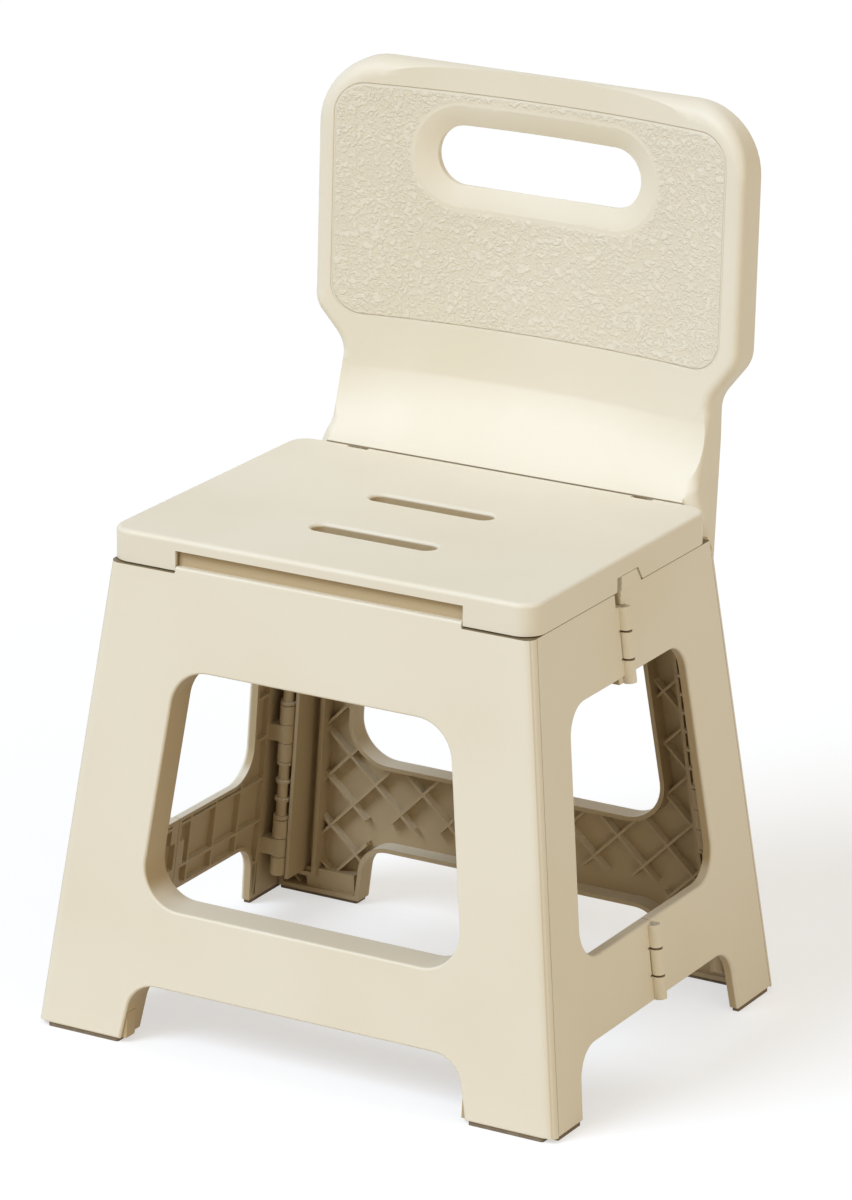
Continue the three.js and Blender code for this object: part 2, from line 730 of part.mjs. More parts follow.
const midSpans = (start, whose) => {
  const [a, b, c, d] = MID_KNUCKLE_SHARES.map((share) => start + share * MID_HINGE_HEIGHT);
  return whose === 'front' ? [[a, b - SEAM / 2], [c + SEAM / 2, d]] : [[b + SEAM / 2, c - SEAM / 2]];
};
const eachMidSpan = (whose, make) => MID_HINGE_STARTS.flatMap((start) => midSpans(start, whose).map(make));

function sideHalf({ outline, whose, foot, edge, sign }) {
  const other = whose === 'front' ? 'rear' : 'front';
  const bandAt = (z) => onAxis(foot, z).y + sign * (KNUCKLE_RADIUS + COLUMN_MARGIN);
  const beyondBand = [
    [bandAt(0), 0],
    [bandAt(0) + sign * FOOT_WIDTH, 0],
    [bandAt(SEAT_HEIGHT) + sign * FOOT_WIDTH, SEAT_HEIGHT],
    [bandAt(SEAT_HEIGHT), SEAT_HEIGHT],
  ];
  const through = SIDE_THICKNESS + OVERRUN;
  const region = slab(flat, outline, SIDE_SKIN, through, SIDE_SKIN)
    .intersect(slab(flat, beyondBand, 0, through + OVERRUN));
  const grid = lattice(
    flat,
    new THREE.Vector2(MID_HINGE_Y + sign * SIDE_RIB_PITCH / 2, SIDE_ARCH_TOP + SIDE_RIB_PITCH / 2),
    FOOT_WIDTH,
    SIDE_RIB_PITCH,
    0,
    SIDE_SKIN - BITE,
    SIDE_THICKNESS + 2 * OVERRUN,
  );
  const backing = eachMidSpan(whose, ([from, to]) => {
    const sides = [edge, edge - sign * 2 * BARREL_RADIUS];
    return slab(flat, rectangle(Math.min(...sides), Math.max(...sides), from, to), SKIN / 2, SIDE_THICKNESS);
  });
  const reliefs = eachMidSpan(other, ([from, to]) => rodIn(
    rightFrame,
    midSide,
    from - SEAM,
    to + SEAM,
    BARREL_RADIUS + SEAM,
    ROUND_SIDES,
  ));
  const barrels = eachMidSpan(whose, ([from, to]) => rodIn(
    rightFrame,
    midSide,
    from,
    to,
    BARREL_RADIUS,
    ROUND_SIDES,
  ));
  const bores = MID_HINGE_STARTS.map((start) => rodIn(
    rightFrame,
    midSide,
    start - OVERRUN,
    start + MID_HINGE_HEIGHT + OVERRUN,
    MID_PIN_RADIUS + GAP,
    PIN_SIDES,
  ));
  const plate = roundedSlab(flat, outline, SIDE_THICKNESS).subtract(region.subtract(grid));
  const arms = cornerArms(rightFrame, foot, 'side', SIDE_THICKNESS - BITE);
  const body = carve(join([plate, ...arms, ...backing]), reliefs);
  const bored = carve(join([body, ...barrels]), [
    ...bores,
    cornerBore(rightFrame, foot, CORNER_PIN_RADIUS + GAP),
  ]);
  return moved(bored, rightFrame.matrix);
}

const rightFrontHalf = () => sideHalf({
  outline: frontHalf,
  whose: 'front',
  foot: frontCorner,
  edge: midFront,
  sign: 1,
});

// The rear half carries the tab that fills the notch in the seat skirt
function tab() {
  const outer = SEAT_WIDTH / 2 - TAB_INSET;
  const inner = sideX(SHOULDER_Z) - SIDE_THICKNESS;
  const corners = [
    [midRear, SHOULDER_Z - SKIN],
    [MID_HINGE_Y + TAB_LENGTH + TAB_SLANT, SHOULDER_Z - SKIN],
    [MID_HINGE_Y + TAB_LENGTH + TAB_SLANT, SHOULDER_Z],
    [MID_HINGE_Y + TAB_LENGTH, SHOULDER_Z + TAB_HEIGHT],
    [midRear, SHOULDER_Z + TAB_HEIGHT],
  ];
  const proud = rectangle(-SEAT_DEPTH, SEAT_DEPTH, 0, SHOULDER_Z);
  const overhang = moved(slab(flat, proud, -OVERRUN, 0), rightFrame.matrix);
  return slab(crossways, corners, inner, outer).subtract(overhang);
}

const rightRearHalf = () => sideHalf({
  outline: rearHalf,
  whose: 'rear',
  foot: rearCorner,
  edge: midRear,
  sign: -1,
}).add(tab());

// Half lengths of the cross pins, and where the front ones start
const rearPinReach = REAR_EAR_WIDTH / 2 + GAP + REAR_BOSS_WIDTH;
const midPinReach = MID_BARREL_WIDTH / 2 + GAP + MID_EAR_WIDTH;
const frontPinInner = FRONT_BARREL_HALF - 2 * FRONT_EAR_WIDTH;

// Seat
const seatPlate = (edge) => [
  [-SEAT_WIDTH / 2, -SEAT_REAR, SEAT_CORNER_ROUND, edge],
  [SEAT_WIDTH / 2, -SEAT_REAR, SEAT_CORNER_ROUND, edge],
  [SEAT_WIDTH / 2, SEAT_REAR, SEAT_REAR_ROUND, edge],
  [-SEAT_WIDTH / 2, SEAT_REAR, SEAT_REAR_ROUND, edge],
];
const slotCorners = (y) => rectangle(
  -SLOT_HALF_LENGTH,
  SLOT_HALF_LENGTH,
  y - SLOT_HALF_WIDTH,
  y + SLOT_HALF_WIDTH,
).map(([u, v]) => [u, v, SLOT_HALF_WIDTH - WELD]);

function seatNotches() {
  const bottom = PANEL_TOP - OVERRUN;
  const lipBottom = SEAT_HEIGHT - SEAT_LIP;
  const wide = SEAT_WIDTH / 2 + OVERRUN;
  const skirtNotch = [
    [MID_HINGE_Y - BARREL_NOTCH_WIDTH + SEAM, bottom],
    [MID_HINGE_Y + TAB_LENGTH + TAB_SLANT + TAB_GAP, bottom],
    [MID_HINGE_Y + TAB_LENGTH + TAB_SLANT + TAB_GAP, PANEL_TOP],
    [MID_HINGE_Y + TAB_LENGTH + TAB_GAP, SHOULDER_Z + TAB_HEIGHT + TAB_GAP],
    [MID_HINGE_Y - BARREL_NOTCH_WIDTH + SEAM, SHOULDER_Z + TAB_HEIGHT + TAB_GAP],
  ];
  const front = rectangle(-SEAT_REAR - OVERRUN, -SEAT_REAR + SEAT_WALL + OVERRUN, bottom, lipBottom);
  const rear = rectangle(SEAT_REAR - SEAT_WALL - OVERRUN, SEAT_REAR + OVERRUN, bottom, lipBottom);
  const rearSkirt = [
    [SEAT_REAR - SKIRT_REAR_CUT, bottom],
    [SEAT_REAR + OVERRUN, bottom],
    [SEAT_REAR + OVERRUN, PANEL_TOP + SKIRT_REAR_CUT + OVERRUN],
    [SEAT_REAR - SKIRT_REAR_CUT + OVERRUN, PANEL_TOP + SKIRT_REAR_CUT + OVERRUN],
    [SEAT_REAR - SKIRT_REAR_CUT, PANEL_TOP],
  ];
  const rearHalf = SEAT_WIDTH / 2 - SEAT_WALL;
  return [
    slab(crossways, skirtNotch, -wide, wide),
    slab(crossways, front, -RECESS_HALF_WIDTH, RECESS_HALF_WIDTH),
    slab(crossways, rear, -rearHalf, rearHalf),
    slab(crossways, rearSkirt, -wide, wide),
  ];
}

function seatRibs() {
  const inner = slab(seatTop, seatPlate(0), SEAT_SKIN - BITE, SEAT_RIB_DEPTH, SEAT_WALL - BITE);
  const centre = new THREE.Vector2(0, (SLOT_Y[0] + SLOT_Y[1]) / 2);
  const grid = lattice(seatTop, centre, SEAT_WIDTH, SEAT_RIB_PITCH, 0, SEAT_SKIN - BITE, SEAT_RIB_DEPTH);
  const rims = SLOT_Y.map((y) => slab(seatTop, slotCorners(y), SEAT_SKIN - BITE, SEAT_RIB_DEPTH, -SLOT_WALL));
  return join([grid.intersect(inner), ...rims]);
}

function earSpans(centre, middle, gap, outer) {
  const half = middle / 2;
  return [[centre - half - gap - outer, centre - half - gap], [centre + half + gap, centre + half + gap + outer]];
}

function rearBosses() {
  const { y, z } = seatAxis;
  return earSpans(REAR_EAR_X, REAR_EAR_WIDTH, GAP, REAR_BOSS_WIDTH).flatMap(([from, to]) => [
    crossRod(seatAxis, from, to, CROSS_RADIUS, ROUND_SIDES),
    slab(crossways, rectangle(y - CROSS_RADIUS, y + CROSS_RADIUS, z, SEAT_HEIGHT - SEAT_SKIN + BITE), from, to),
  ]);
}

function midEars() {
  const { y, z } = midLinkAxis;
  return earSpans(MID_EAR_X, MID_BARREL_WIDTH, GAP, MID_EAR_WIDTH).flatMap(([from, to]) => [
    crossRod(midLinkAxis, from, to, CROSS_RADIUS, ROUND_SIDES),
    slab(crossways, rectangle(y - CROSS_RADIUS, y + CROSS_RADIUS, z, SEAT_HEIGHT - SEAT_SKIN + BITE), from, to),
  ]);
}

function seat() {
  const shell = roundedSlab(seatTop, seatPlate(SEAT_EDGE), SKIRT_DROP);
  const hollow = slab(seatTop, seatPlate(0), SEAT_SKIN, SKIRT_DROP + OVERRUN, SEAT_WALL);
  const earNotch = slab(
    seatTop,
    rectangle(
      REAR_EAR_X - REAR_EAR_WIDTH / 2 - GAP,
      REAR_EAR_X + REAR_EAR_WIDTH / 2 + GAP,
      seatAxis.y + REAR_NECK_DROP - GAP,
      SEAT_REAR + OVERRUN,
    ),
    -OVERRUN,
    SKIRT_DROP + OVERRUN,
  );
  const eyeRoom = crossRod(
    seatAxis,
    REAR_EAR_X - REAR_EAR_WIDTH / 2 - GAP,
    REAR_EAR_X + REAR_EAR_WIDTH / 2 + GAP,
    CROSS_RADIUS + SEAM,
    ROUND_SIDES,
  );
  const bosses = join([...rearBosses(), ...midEars()]);
  const body = join([
    carve(shell.subtract(hollow), seatNotches()),
    seatRibs().subtract(slab(seatTop, seatPlate(0), SEAT_LIP, SEAT_RIB_DEPTH + OVERRUN, -OVERRUN)),
    ...eachSide(bosses),
  ]);
  const slots = SLOT_Y.map((y) => openingCutter(seatTop, slotCorners(y), SLOT_DISH, SKIRT_DROP + OVERRUN));
  const rearBore = crossRod(
    seatAxis,
    REAR_EAR_X - rearPinReach - SEAM,
    REAR_EAR_X + rearPinReach + SEAM,
    CROSS_PIN_RADIUS + GAP,
    PIN_SIDES,
  );
  const midBore = crossRod(
    midLinkAxis,
    MID_EAR_X - MID_BARREL_WIDTH - OVERRUN,
    MID_EAR_X + MID_BARREL_WIDTH + OVERRUN,
    CROSS_PIN_RADIUS + GAP,
    PIN_SIDES,
  );
  return carve(body, [
    ...slots,
    ...eachSide(earNotch),
    ...eachSide(eyeRoom),
    ...eachSide(rearBore),
    ...eachSide(midBore),
  ]);
}

// Link plate under the front half of the seat
const linkDirection = midLinkAxis.clone().sub(frontLinkAxis).normalize();
const linkLength = midLinkAxis.distanceTo(frontLinkAxis);
const linkNormal = point(0, -linkDirection.z, linkDirection.y);
const linkPlane = (u, v, depth) => point(u, 0, 0)
  .add(frontLinkAxis)
  .addScaledVector(linkDirection, v)
  .addScaledVector(linkNormal, LINK_THICKNESS / 2 - depth);

function link() {
  const plate = slab(linkPlane, [
    [-LINK_HALF_WIDTH, 0],
    [LINK_HALF_WIDTH, 0],
    [LINK_HALF_WIDTH, linkLength - LINK_STOP_SHORT, SEAT_CORNER_ROUND],
    [-LINK_HALF_WIDTH, linkLength - LINK_STOP_SHORT, SEAT_CORNER_ROUND],
  ], 0, LINK_THICKNESS);
  const opening = slab(linkPlane, rectangle(
    -LINK_OPENING_HALF,
    LINK_OPENING_HALF,
    LINK_OPENING_FRONT,
    LINK_OPENING_REAR,
  ).map(([u, v]) => [u, v, SEAT_CORNER_ROUND]), -OVERRUN, LINK_THICKNESS + OVERRUN);
  const armHalf = MID_BARREL_WIDTH / 2;
  const arm = join([
    slab(
      linkPlane,
      rectangle(MID_EAR_X - armHalf, MID_EAR_X + armHalf, linkLength / 2, linkLength),
      0,
      LINK_THICKNESS,
    ),
    crossRod(midLinkAxis, MID_EAR_X - armHalf, MID_EAR_X + armHalf, FRONT_BARREL_RADIUS, ROUND_SIDES),
  ]);
  const barrel = crossRod(frontLinkAxis, -FRONT_BARREL_HALF, FRONT_BARREL_HALF, FRONT_BARREL_RADIUS, ROUND_SIDES);
  const midBore = crossRod(midLinkAxis, LINK_OPENING_HALF, LINK_HALF_WIDTH, CROSS_PIN_RADIUS + GAP, PIN_SIDES);
  const frontBore = crossRod(
    frontLinkAxis,
    frontPinInner - GAP,
    FRONT_BARREL_HALF + OVERRUN,
    CROSS_PIN_RADIUS + GAP,
    PIN_SIDES,
  );
  return carve(join([plate.subtract(opening), ...eachSide(arm), barrel]), [
    ...eachSide(midBore),
    ...eachSide(frontBore),
  ]);
}

// Backrest and rear legs are one moulding
const waistWall = SEAT_REAR + BACK_WALL_GAP;
const coveShare = (z) => THREE.MathUtils.clamp((z - SEAT_HEIGHT) / BACK_COVE_HEIGHT, 0, 1);
const edgeLineY = (z) => waistWall
  + BACK_COVE_DEPTH * Math.sin((coveShare(z) * Math.PI) / 2) ** BACK_COVE_POWER
  + BACK_LEAN_SHARE * Math.max(0, z - SEAT_HEIGHT - BACK_COVE_HEIGHT);
const sweepDepth = BACK_SWEEP_EDGE ** 2 / (2 * BACK_SWEEP_RADIUS);
const backFace = (x, z) => edgeLineY(z)
  + coveShare(z) * sweepDepth * (1 - (x / BACK_SWEEP_EDGE) ** 2);
const backPlane = (z) => Math.min(
  mix(rearY(BACK_ROOT_Z), edgeLineY(SEAT_HEIGHT + BACK_COVE_HEIGHT) + BACK_THICKNESS,
    (z - BACK_ROOT_Z) / (WAIST_BOTTOM - BACK_ROOT_Z)),
  edgeLineY(Math.max(z, SEAT_HEIGHT + BACK_COVE_HEIGHT)) + BACK_THICKNESS,
);

const backCorners = [
  [-sideX(BACK_ROOT_Z), BACK_ROOT_Z, 0, BACK_EDGE_SIDE],
  [sideX(BACK_ROOT_Z), BACK_ROOT_Z, 0, BACK_EDGE_SIDE],
  [WAIST_HALF_WIDTH, WAIST_BOTTOM, SHOULDER_ROUND, BACK_EDGE_SIDE],
  [WAIST_HALF_WIDTH, WAIST_TOP, SHOULDER_ROUND, BACK_EDGE_SIDE],
  [BACK_HALF_WIDTH, SHOULDER_BOTTOM, SHOULDER_ROUND, BACK_EDGE_SIDE],
  [BACK_HALF_WIDTH, BACK_HEIGHT, BACK_CORNER_ROUND, BACK_EDGE_TOP],
  [-BACK_HALF_WIDTH, BACK_HEIGHT, BACK_CORNER_ROUND, BACK_EDGE_TOP],
  [-BACK_HALF_WIDTH, SHOULDER_BOTTOM, SHOULDER_ROUND, BACK_EDGE_SIDE],
  [-WAIST_HALF_WIDTH, WAIST_TOP, SHOULDER_ROUND, BACK_EDGE_SIDE],
  [-WAIST_HALF_WIDTH, WAIST_BOTTOM, SHOULDER_ROUND, BACK_EDGE_SIDE],
];

// Heights of the face's rows: close together through the cove, wide above it
function backRows() {
  const rows = [BACK_ROOT_Z, SEAT_HEIGHT];
  const start = SEAT_HEIGHT + BACK_COVE_HEIGHT;
  for (let step = 1; step <= COVE_ROWS; step += 1) rows.push(mix(SEAT_HEIGHT, start, step / COVE_ROWS));
  for (let step = 1; step <= BACK_ROWS; step += 1) {
    rows.push(mix(start, BACK_HEIGHT + OVERRUN, step / BACK_ROWS));
  }
  return rows;
}

// A curved slab between the face moved back by near and either the back plane or far
function curvedSlab(near, farAt) {
  const rows = backRows();
  const half = BACK_HALF_WIDTH + OVERRUN;
  const xs = Array.from({ length: BACK_COLUMNS + 1 }, (unused, i) => mix(-half, half, i / BACK_COLUMNS));
  const rings = rows.map((z) => [
    ...xs.map((x) => point(x, backFace(x, z) + near, z)),
    ...xs.slice().reverse().map((x) => point(x, farAt(z), z)),
  ]);
  const cap = rings[rings.length - 1].map(({ x, y }) => new THREE.Vector2(x, y));
  return loft(rings, cap);
}

// Outline walls that follow the curved face, rounded where they meet it
function backOutline(inset) {
  const outline = outlineOf(backCorners);
  const turns = ROUND_SHARES.map((share) => (share * Math.PI) / 2);
  const ring = (share, depthOf) => insetOutline(outline, share, inset)
    .map(({ x, y: z }, i) => point(x, depthOf(x, z, edgeOf(outline[i])), z));
  const rings = [ring(1, () => -SEAT_REAR)];
  turns.forEach((turn) => {
    rings.push(ring(1 - Math.sin(turn), (x, z, edge) => backFace(x, z) + edge * (1 - Math.cos(turn))));
  });
  rings.push(ring(0, () => FOOT_WIDTH));
  return loft(rings, insetOutline(outline, 1, inset));
}

const gripCorners = rectangle(
  -GRIP_HALF_LENGTH,
  GRIP_HALF_LENGTH,
  GRIP_Z - GRIP_HALF_HEIGHT,
  GRIP_Z + GRIP_HALF_HEIGHT,
).map(([u, v]) => [u, v, GRIP_HALF_HEIGHT - WELD]);

function gripCutter(inset, funnel) {
  const outline = outlineOf(gripCorners);
  const ring = (offset, depthOf) => insetOutline(outline, 0, inset - offset)
    .map(({ x, y: z }) => point(x, depthOf(x, z), z));
  const rings = [ring(funnel, () => -SEAT_REAR)];
  FUNNEL_SHARES.forEach((share) => {
    const turn = (share * Math.PI) / 2;
    const offset = funnel * (1 - Math.sin(turn));
    rings.push(ring(offset, (x, z) => backFace(x, z) + GRIP_FUNNEL_DEPTH * (1 - Math.cos(turn))));
  });
  rings.push(ring(0, () => FOOT_WIDTH));
  return loft(rings, insetOutline(outline, 0, inset - funnel));
}

// Cuts the rear corner of the flange, so that it runs into the rounded corner of the leg and fades above
function flangeBevel() {
  const slope = (WAIST_HALF_WIDTH - sideX(BACK_ROOT_Z)) / (WAIST_BOTTOM - BACK_ROOT_Z);
  const rings = [BACK_ROOT_Z - OVERRUN, WAIST_BOTTOM, FLANGE_BEVEL_TOP].map((z) => {
    const x = Math.max(WAIST_HALF_WIDTH, WAIST_HALF_WIDTH + slope * (z - WAIST_BOTTOM));
    const y = backPlane(z);
    const bevel = (FLANGE_BEVEL * (FLANGE_BEVEL_TOP - z)) / (FLANGE_BEVEL_TOP - BACK_ROOT_Z);
    return [
      point(x + OVERRUN, y - bevel - OVERRUN, z),
      point(x + OVERRUN, y + OVERRUN, z),
      point(x - bevel - OVERRUN, y + OVERRUN, z),
    ];
  });
  return loft(rings, rings[0].map(({ x, y }) => new THREE.Vector2(x, y)));
}

function backrest() {
  const outer = curvedSlab(0, backPlane).intersect(backOutline(0));
  const hollowRegion = curvedSlab(BACK_SKIN, () => FOOT_WIDTH / 2 + OVERRUN).intersect(backOutline(BACK_SKIN));
  const below = rectangle(0, FOOT_WIDTH, 0, SEAT_HEIGHT + BACK_COVE_HEIGHT / 3);
  const solidRoot = slab(crossways, below, -FOOT_WIDTH, FOOT_WIDTH);
  const gripWall = gripCutter(-BACK_SKIN, GRIP_FUNNEL);
  const ribs = lattice(
    (u, z, depth) => point(u, depth, z),
    new THREE.Vector2(0, WAIST_TOP),
    BACK_HEIGHT / 2,
    BACK_RIB_PITCH,
    0,
    waistWall,
    FOOT_WIDTH / 2,
  );
  const pockets = carve(hollowRegion, [solidRoot, gripWall, ribs]);
  const behindSide = rearY(BACK_ROOT_Z) - CORNER_ROUND;
  const sideRoom = slab(
    crossways,
    rectangle(0, behindSide, BACK_ROOT_Z - OVERRUN, PANEL_TOP),
    sideX(PANEL_TOP) - SIDE_THICKNESS - SEAM,
    FOOT_WIDTH,
  );
  return carve(outer, [
    pockets,
    gripCutter(0, GRIP_FUNNEL),
    ...eachSide(sideRoom),
    ...eachSide(flangeBevel()),
  ]);
}

// Rear leg panel, with the seat's rear hinge ears
const rearTrayTop = PANEL_TOP - REAR_TRAY_DROP;
const rearWindow = windowOutline(REAR_WINDOW_BOTTOM, REAR_WINDOW_TOP, REAR_POST);
const legTop = BACK_ROOT_Z + SKIN;
const rearPlate = [
  ...footedEdge(sideX(PANEL_LIFT), REAR_FOOT, REAR_ARCH_TOP, EDGE, CORNER_ROUND),
  [sideX(legTop), legTop, 0, 0],
  [-sideX(legTop), legTop, 0, CORNER_ROUND],
];

function rearEar() {
  const half = REAR_EAR_WIDTH / 2;
  const { y, z } = seatAxis;
  return join([
    crossRod(seatAxis, REAR_EAR_X - half, REAR_EAR_X + half, CROSS_RADIUS, ROUND_SIDES),
    slab(
      crossways,
      rectangle(y, waistWall + SKIN, z - CROSS_RADIUS, z - REAR_NECK_DROP),
      REAR_EAR_X - half,
      REAR_EAR_X + half,
    ),
  ]);
}

function rearPanel() {
  const legs = carve(legPanel({
    frame: rearFrame,
    foot: rearCorner,
    plate: rearPlate,
    tray: trayOutline(rearCorner, REAR_FOOT, REAR_ARCH_TOP, rearTrayTop),
    window: rearWindow,
    rim: REAR_RIM,
    footLength: REAR_FOOT,
    archTop: REAR_ARCH_TOP,
    ribPitch: DIAMOND_PITCH,
  }), [
    openingCutter(flat, rearWindow, EDGE, REAR_RIM + OVERRUN),
    ...eachSide(cornerBore(rearFrame, rearCorner, CORNER_PIN_RADIUS + GAP)),
  ]);
  const seatSweep = Math.hypot(SEAT_AXIS_FROM_REAR, SEAT_AXIS_DROP) + GAP;
  const span = SEAT_WIDTH / 2 + SEAM;
  const recess = crossRod(seatAxis, -span, span, seatSweep, 2 * ROUND_SIDES);
  const bore = crossRod(
    seatAxis,
    REAR_EAR_X - REAR_EAR_WIDTH,
    REAR_EAR_X + REAR_EAR_WIDTH,
    CROSS_PIN_RADIUS + GAP,
    PIN_SIDES,
  );
  const body = join([moved(legs, rearFrame.matrix), backrest()]).subtract(recess);
  return carve(join([body, ...eachSide(rearEar())]), eachSide(bore));
}

// Pins
const frontPin = () => crossRod(
  frontLinkAxis,
  frontPinInner,
  FRONT_BARREL_HALF + GAP + FRONT_EAR_WIDTH,
  CROSS_PIN_RADIUS,
  PIN_SIDES,
);
const rearPin = () => crossRod(
  seatAxis,
  REAR_EAR_X - rearPinReach,
  REAR_EAR_X + rearPinReach,
  CROSS_PIN_RADIUS,
  PIN_SIDES,
);
const midLinkPin = () => crossRod(
  midLinkAxis,
  MID_EAR_X - midPinReach,
  MID_EAR_X + midPinReach,
  CROSS_PIN_RADIUS,
  PIN_SIDES,
);
const cornerPin = (foot) => uprightRod(
  foot,
  CORNER_GROUP_STARTS[0] - CORNER_PIN_OVERHANG,
  CORNER_TOP + CORNER_PIN_OVERHANG,
  CORNER_PIN_RADIUS,
  PIN_SIDES,
);
const midPin = (start) => uprightRod(midSide, start, start + MID_HINGE_HEIGHT, MID_PIN_RADIUS, PIN_SIDES);

// Foot pads: one under each panel foot and one under each side foot
const onFloor = (u, v, depth) => point(u, v, depth);
function panelPad(wallY, sign, footLength, rim) {
  const outer = sideX(0) - SOLE_INSET - SEAM;
  const inner = sideX(0) - footLength + EDGE;
  const near = wallY(0) - sign * EDGE;
  const far = wallY(0) - sign * (rim - EDGE);
  const corners = rectangle(inner, outer, Math.min(near, far), Math.max(near, far));
  return slab(onFloor, corners.map(([u, v]) => [u, v, EDGE]), 0, PAD_THICKNESS);
}
function sidePad(start, end) {
  const outer = sideX(0) - EDGE;
  const inner = sideX(0) - SIDE_THICKNESS + GAP;
  const corners = rectangle(inner, outer, Math.min(start, end), Math.max(start, end));
  return slab(onFloor, corners.map(([u, v]) => [u, v, EDGE / 2]), 0, PAD_THICKNESS);
}
const frontSidePad = () => sidePad(seamFront(0) + EDGE, frontY(0) + SIDE_FOOT_FRONT - EDGE);
const rearSidePad = () => sidePad(seamRear(0) - EDGE, rearY(0) - SIDE_FOOT_REAR + EDGE);

const cream = new THREE.MeshStandardMaterial({ color: 0xe8ddc6, roughness: 0.55, metalness: 0 });
const steel = new THREE.MeshStandardMaterial({ color: 0x9a9a96, roughness: 0.35, metalness: 1 });
const rubber = new THREE.MeshStandardMaterial({ color: 0x6f6455, roughness: 0.85, metalness: 0 });

const group = new THREE.Group();

function addPiece(name, body, material) {
  const mesh = new THREE.Mesh(geometryOf(body), material.clone());
  mesh.name = name;
  group.add(mesh);
}

function addPair(rightName, leftName, body, material) {
  addPiece(rightName, body, material);
  addPiece(leftName, mirrored(body), material);
}

addPiece('rear_panel_with_backrest', rearPanel(), cream);
addPiece('front_panel', frontPanel(), cream);
addPair('right_front_side', 'left_front_side', rightFrontHalf(), cream);
addPair('right_rear_side', 'left_rear_side', rightRearHalf(), cream);
addPiece('seat', seat(), cream);
addPiece('seat_link', link(), cream);
addPair('seat_rear_pin_right', 'seat_rear_pin_left', rearPin(), steel);
addPair('seat_link_pin_right', 'seat_link_pin_left', midLinkPin(), steel);
addPair('front_link_pin_right', 'front_link_pin_left', frontPin(), steel);
addPair('corner_pin_front_right', 'corner_pin_front_left', cornerPin(frontCorner), steel);
addPair('corner_pin_rear_right', 'corner_pin_rear_left', cornerPin(rearCorner), steel);
addPair('lower_side_pin_right', 'lower_side_pin_left', midPin(MID_HINGE_STARTS[0]), steel);
addPair('upper_side_pin_right', 'upper_side_pin_left', midPin(MID_HINGE_STARTS[1]), steel);
addPair('foot_pad_front_right', 'foot_pad_front_left', panelPad(frontY, -1, FRONT_FOOT, FRONT_RIM), rubber);
addPair('foot_pad_rear_right', 'foot_pad_rear_left', panelPad(rearY, 1, REAR_FOOT, REAR_RIM), rubber);
addPair('side_pad_front_right', 'side_pad_front_left', frontSidePad(), rubber);
addPair('side_pad_rear_right', 'side_pad_rear_left', rearSidePad(), rubber);

const middle = new THREE.Box3().setFromObject(group).getCenter(new THREE.Vector3());
group.children.forEach((mesh) => mesh.geometry.translate(0, -middle.y, 0));

export default group;
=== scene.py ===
# %% [markdown]
# Folding step stool chair
#
# The real object is a light chair for a kitchen or a garden: a seat with two slots, a backrest with a hand
# hole, and six moulded leg panels on pins, so that the whole frame folds flat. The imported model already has
# its sizes and joints. This lesson dresses it: the moulded pieces are drawn again with finer rounds, each
# finish is mixed from shader nodes, and the camera stands where the photographer stood. The chair's sizes
# are in millimetres and become metres when a mesh is made. The camera and the floor are placed in metres.

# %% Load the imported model
import math
import bpy
import bmesh
from mathutils import Matrix, Vector


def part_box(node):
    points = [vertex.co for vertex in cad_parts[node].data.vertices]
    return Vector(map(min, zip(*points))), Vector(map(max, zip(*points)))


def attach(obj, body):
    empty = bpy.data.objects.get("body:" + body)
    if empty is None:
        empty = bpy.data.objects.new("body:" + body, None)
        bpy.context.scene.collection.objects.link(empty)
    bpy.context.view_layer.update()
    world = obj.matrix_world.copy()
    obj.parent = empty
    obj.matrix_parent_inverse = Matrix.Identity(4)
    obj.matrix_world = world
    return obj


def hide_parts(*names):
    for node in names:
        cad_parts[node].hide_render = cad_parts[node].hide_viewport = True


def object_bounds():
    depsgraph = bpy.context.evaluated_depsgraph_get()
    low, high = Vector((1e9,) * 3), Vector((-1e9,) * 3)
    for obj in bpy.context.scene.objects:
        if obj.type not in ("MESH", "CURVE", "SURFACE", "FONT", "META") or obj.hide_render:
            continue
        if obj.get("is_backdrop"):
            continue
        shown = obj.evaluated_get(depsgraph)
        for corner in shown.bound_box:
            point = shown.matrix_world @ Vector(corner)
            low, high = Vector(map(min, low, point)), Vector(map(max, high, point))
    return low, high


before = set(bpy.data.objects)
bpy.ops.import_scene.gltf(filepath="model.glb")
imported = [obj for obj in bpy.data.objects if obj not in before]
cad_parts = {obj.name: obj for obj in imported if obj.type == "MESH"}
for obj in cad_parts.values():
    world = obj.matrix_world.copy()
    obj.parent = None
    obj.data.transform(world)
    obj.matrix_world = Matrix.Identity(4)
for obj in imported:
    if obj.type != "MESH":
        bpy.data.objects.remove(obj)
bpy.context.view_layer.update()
MM = 0.001
seat_low, seat_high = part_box("seat")
SEAT_MIDDLE_Y = (seat_low[1] + seat_high[1]) / 2

# %% [markdown]
# The camera
#
# The photograph was taken from the front right, a little above the seat, from far away: its parallel
# edges hardly come together. A long lens at a long distance gives the same drawing. The camera is placed
# by an azimuth, an elevation and a small roll round the point it looks at, because those are the numbers
# that a photographer would change.

# %% Place the camera
VIEW_AZIMUTH = math.radians(29.65)
VIEW_ELEVATION = math.radians(18.43)
VIEW_ROLL = math.radians(0.62)
VIEW_TARGET = Vector((10.2 * MM, SEAT_MIDDLE_Y + 1.0 * MM, 268.6 * MM))
VIEW_DISTANCE = 3.648
LENS = 180
SENSOR = 36
VIEW_END = 50


def add_object(name, data):
    made = bpy.data.objects.new(name, data)
    bpy.context.scene.collection.objects.link(made)
    return made


def direction(azimuth, elevation):
    """The way from the object to a viewer or a lamp. Azimuth 0 is the front and 90 degrees the right."""
    flat = math.cos(elevation)
    return Vector((math.sin(azimuth) * flat, -math.cos(azimuth) * flat, math.sin(elevation)))


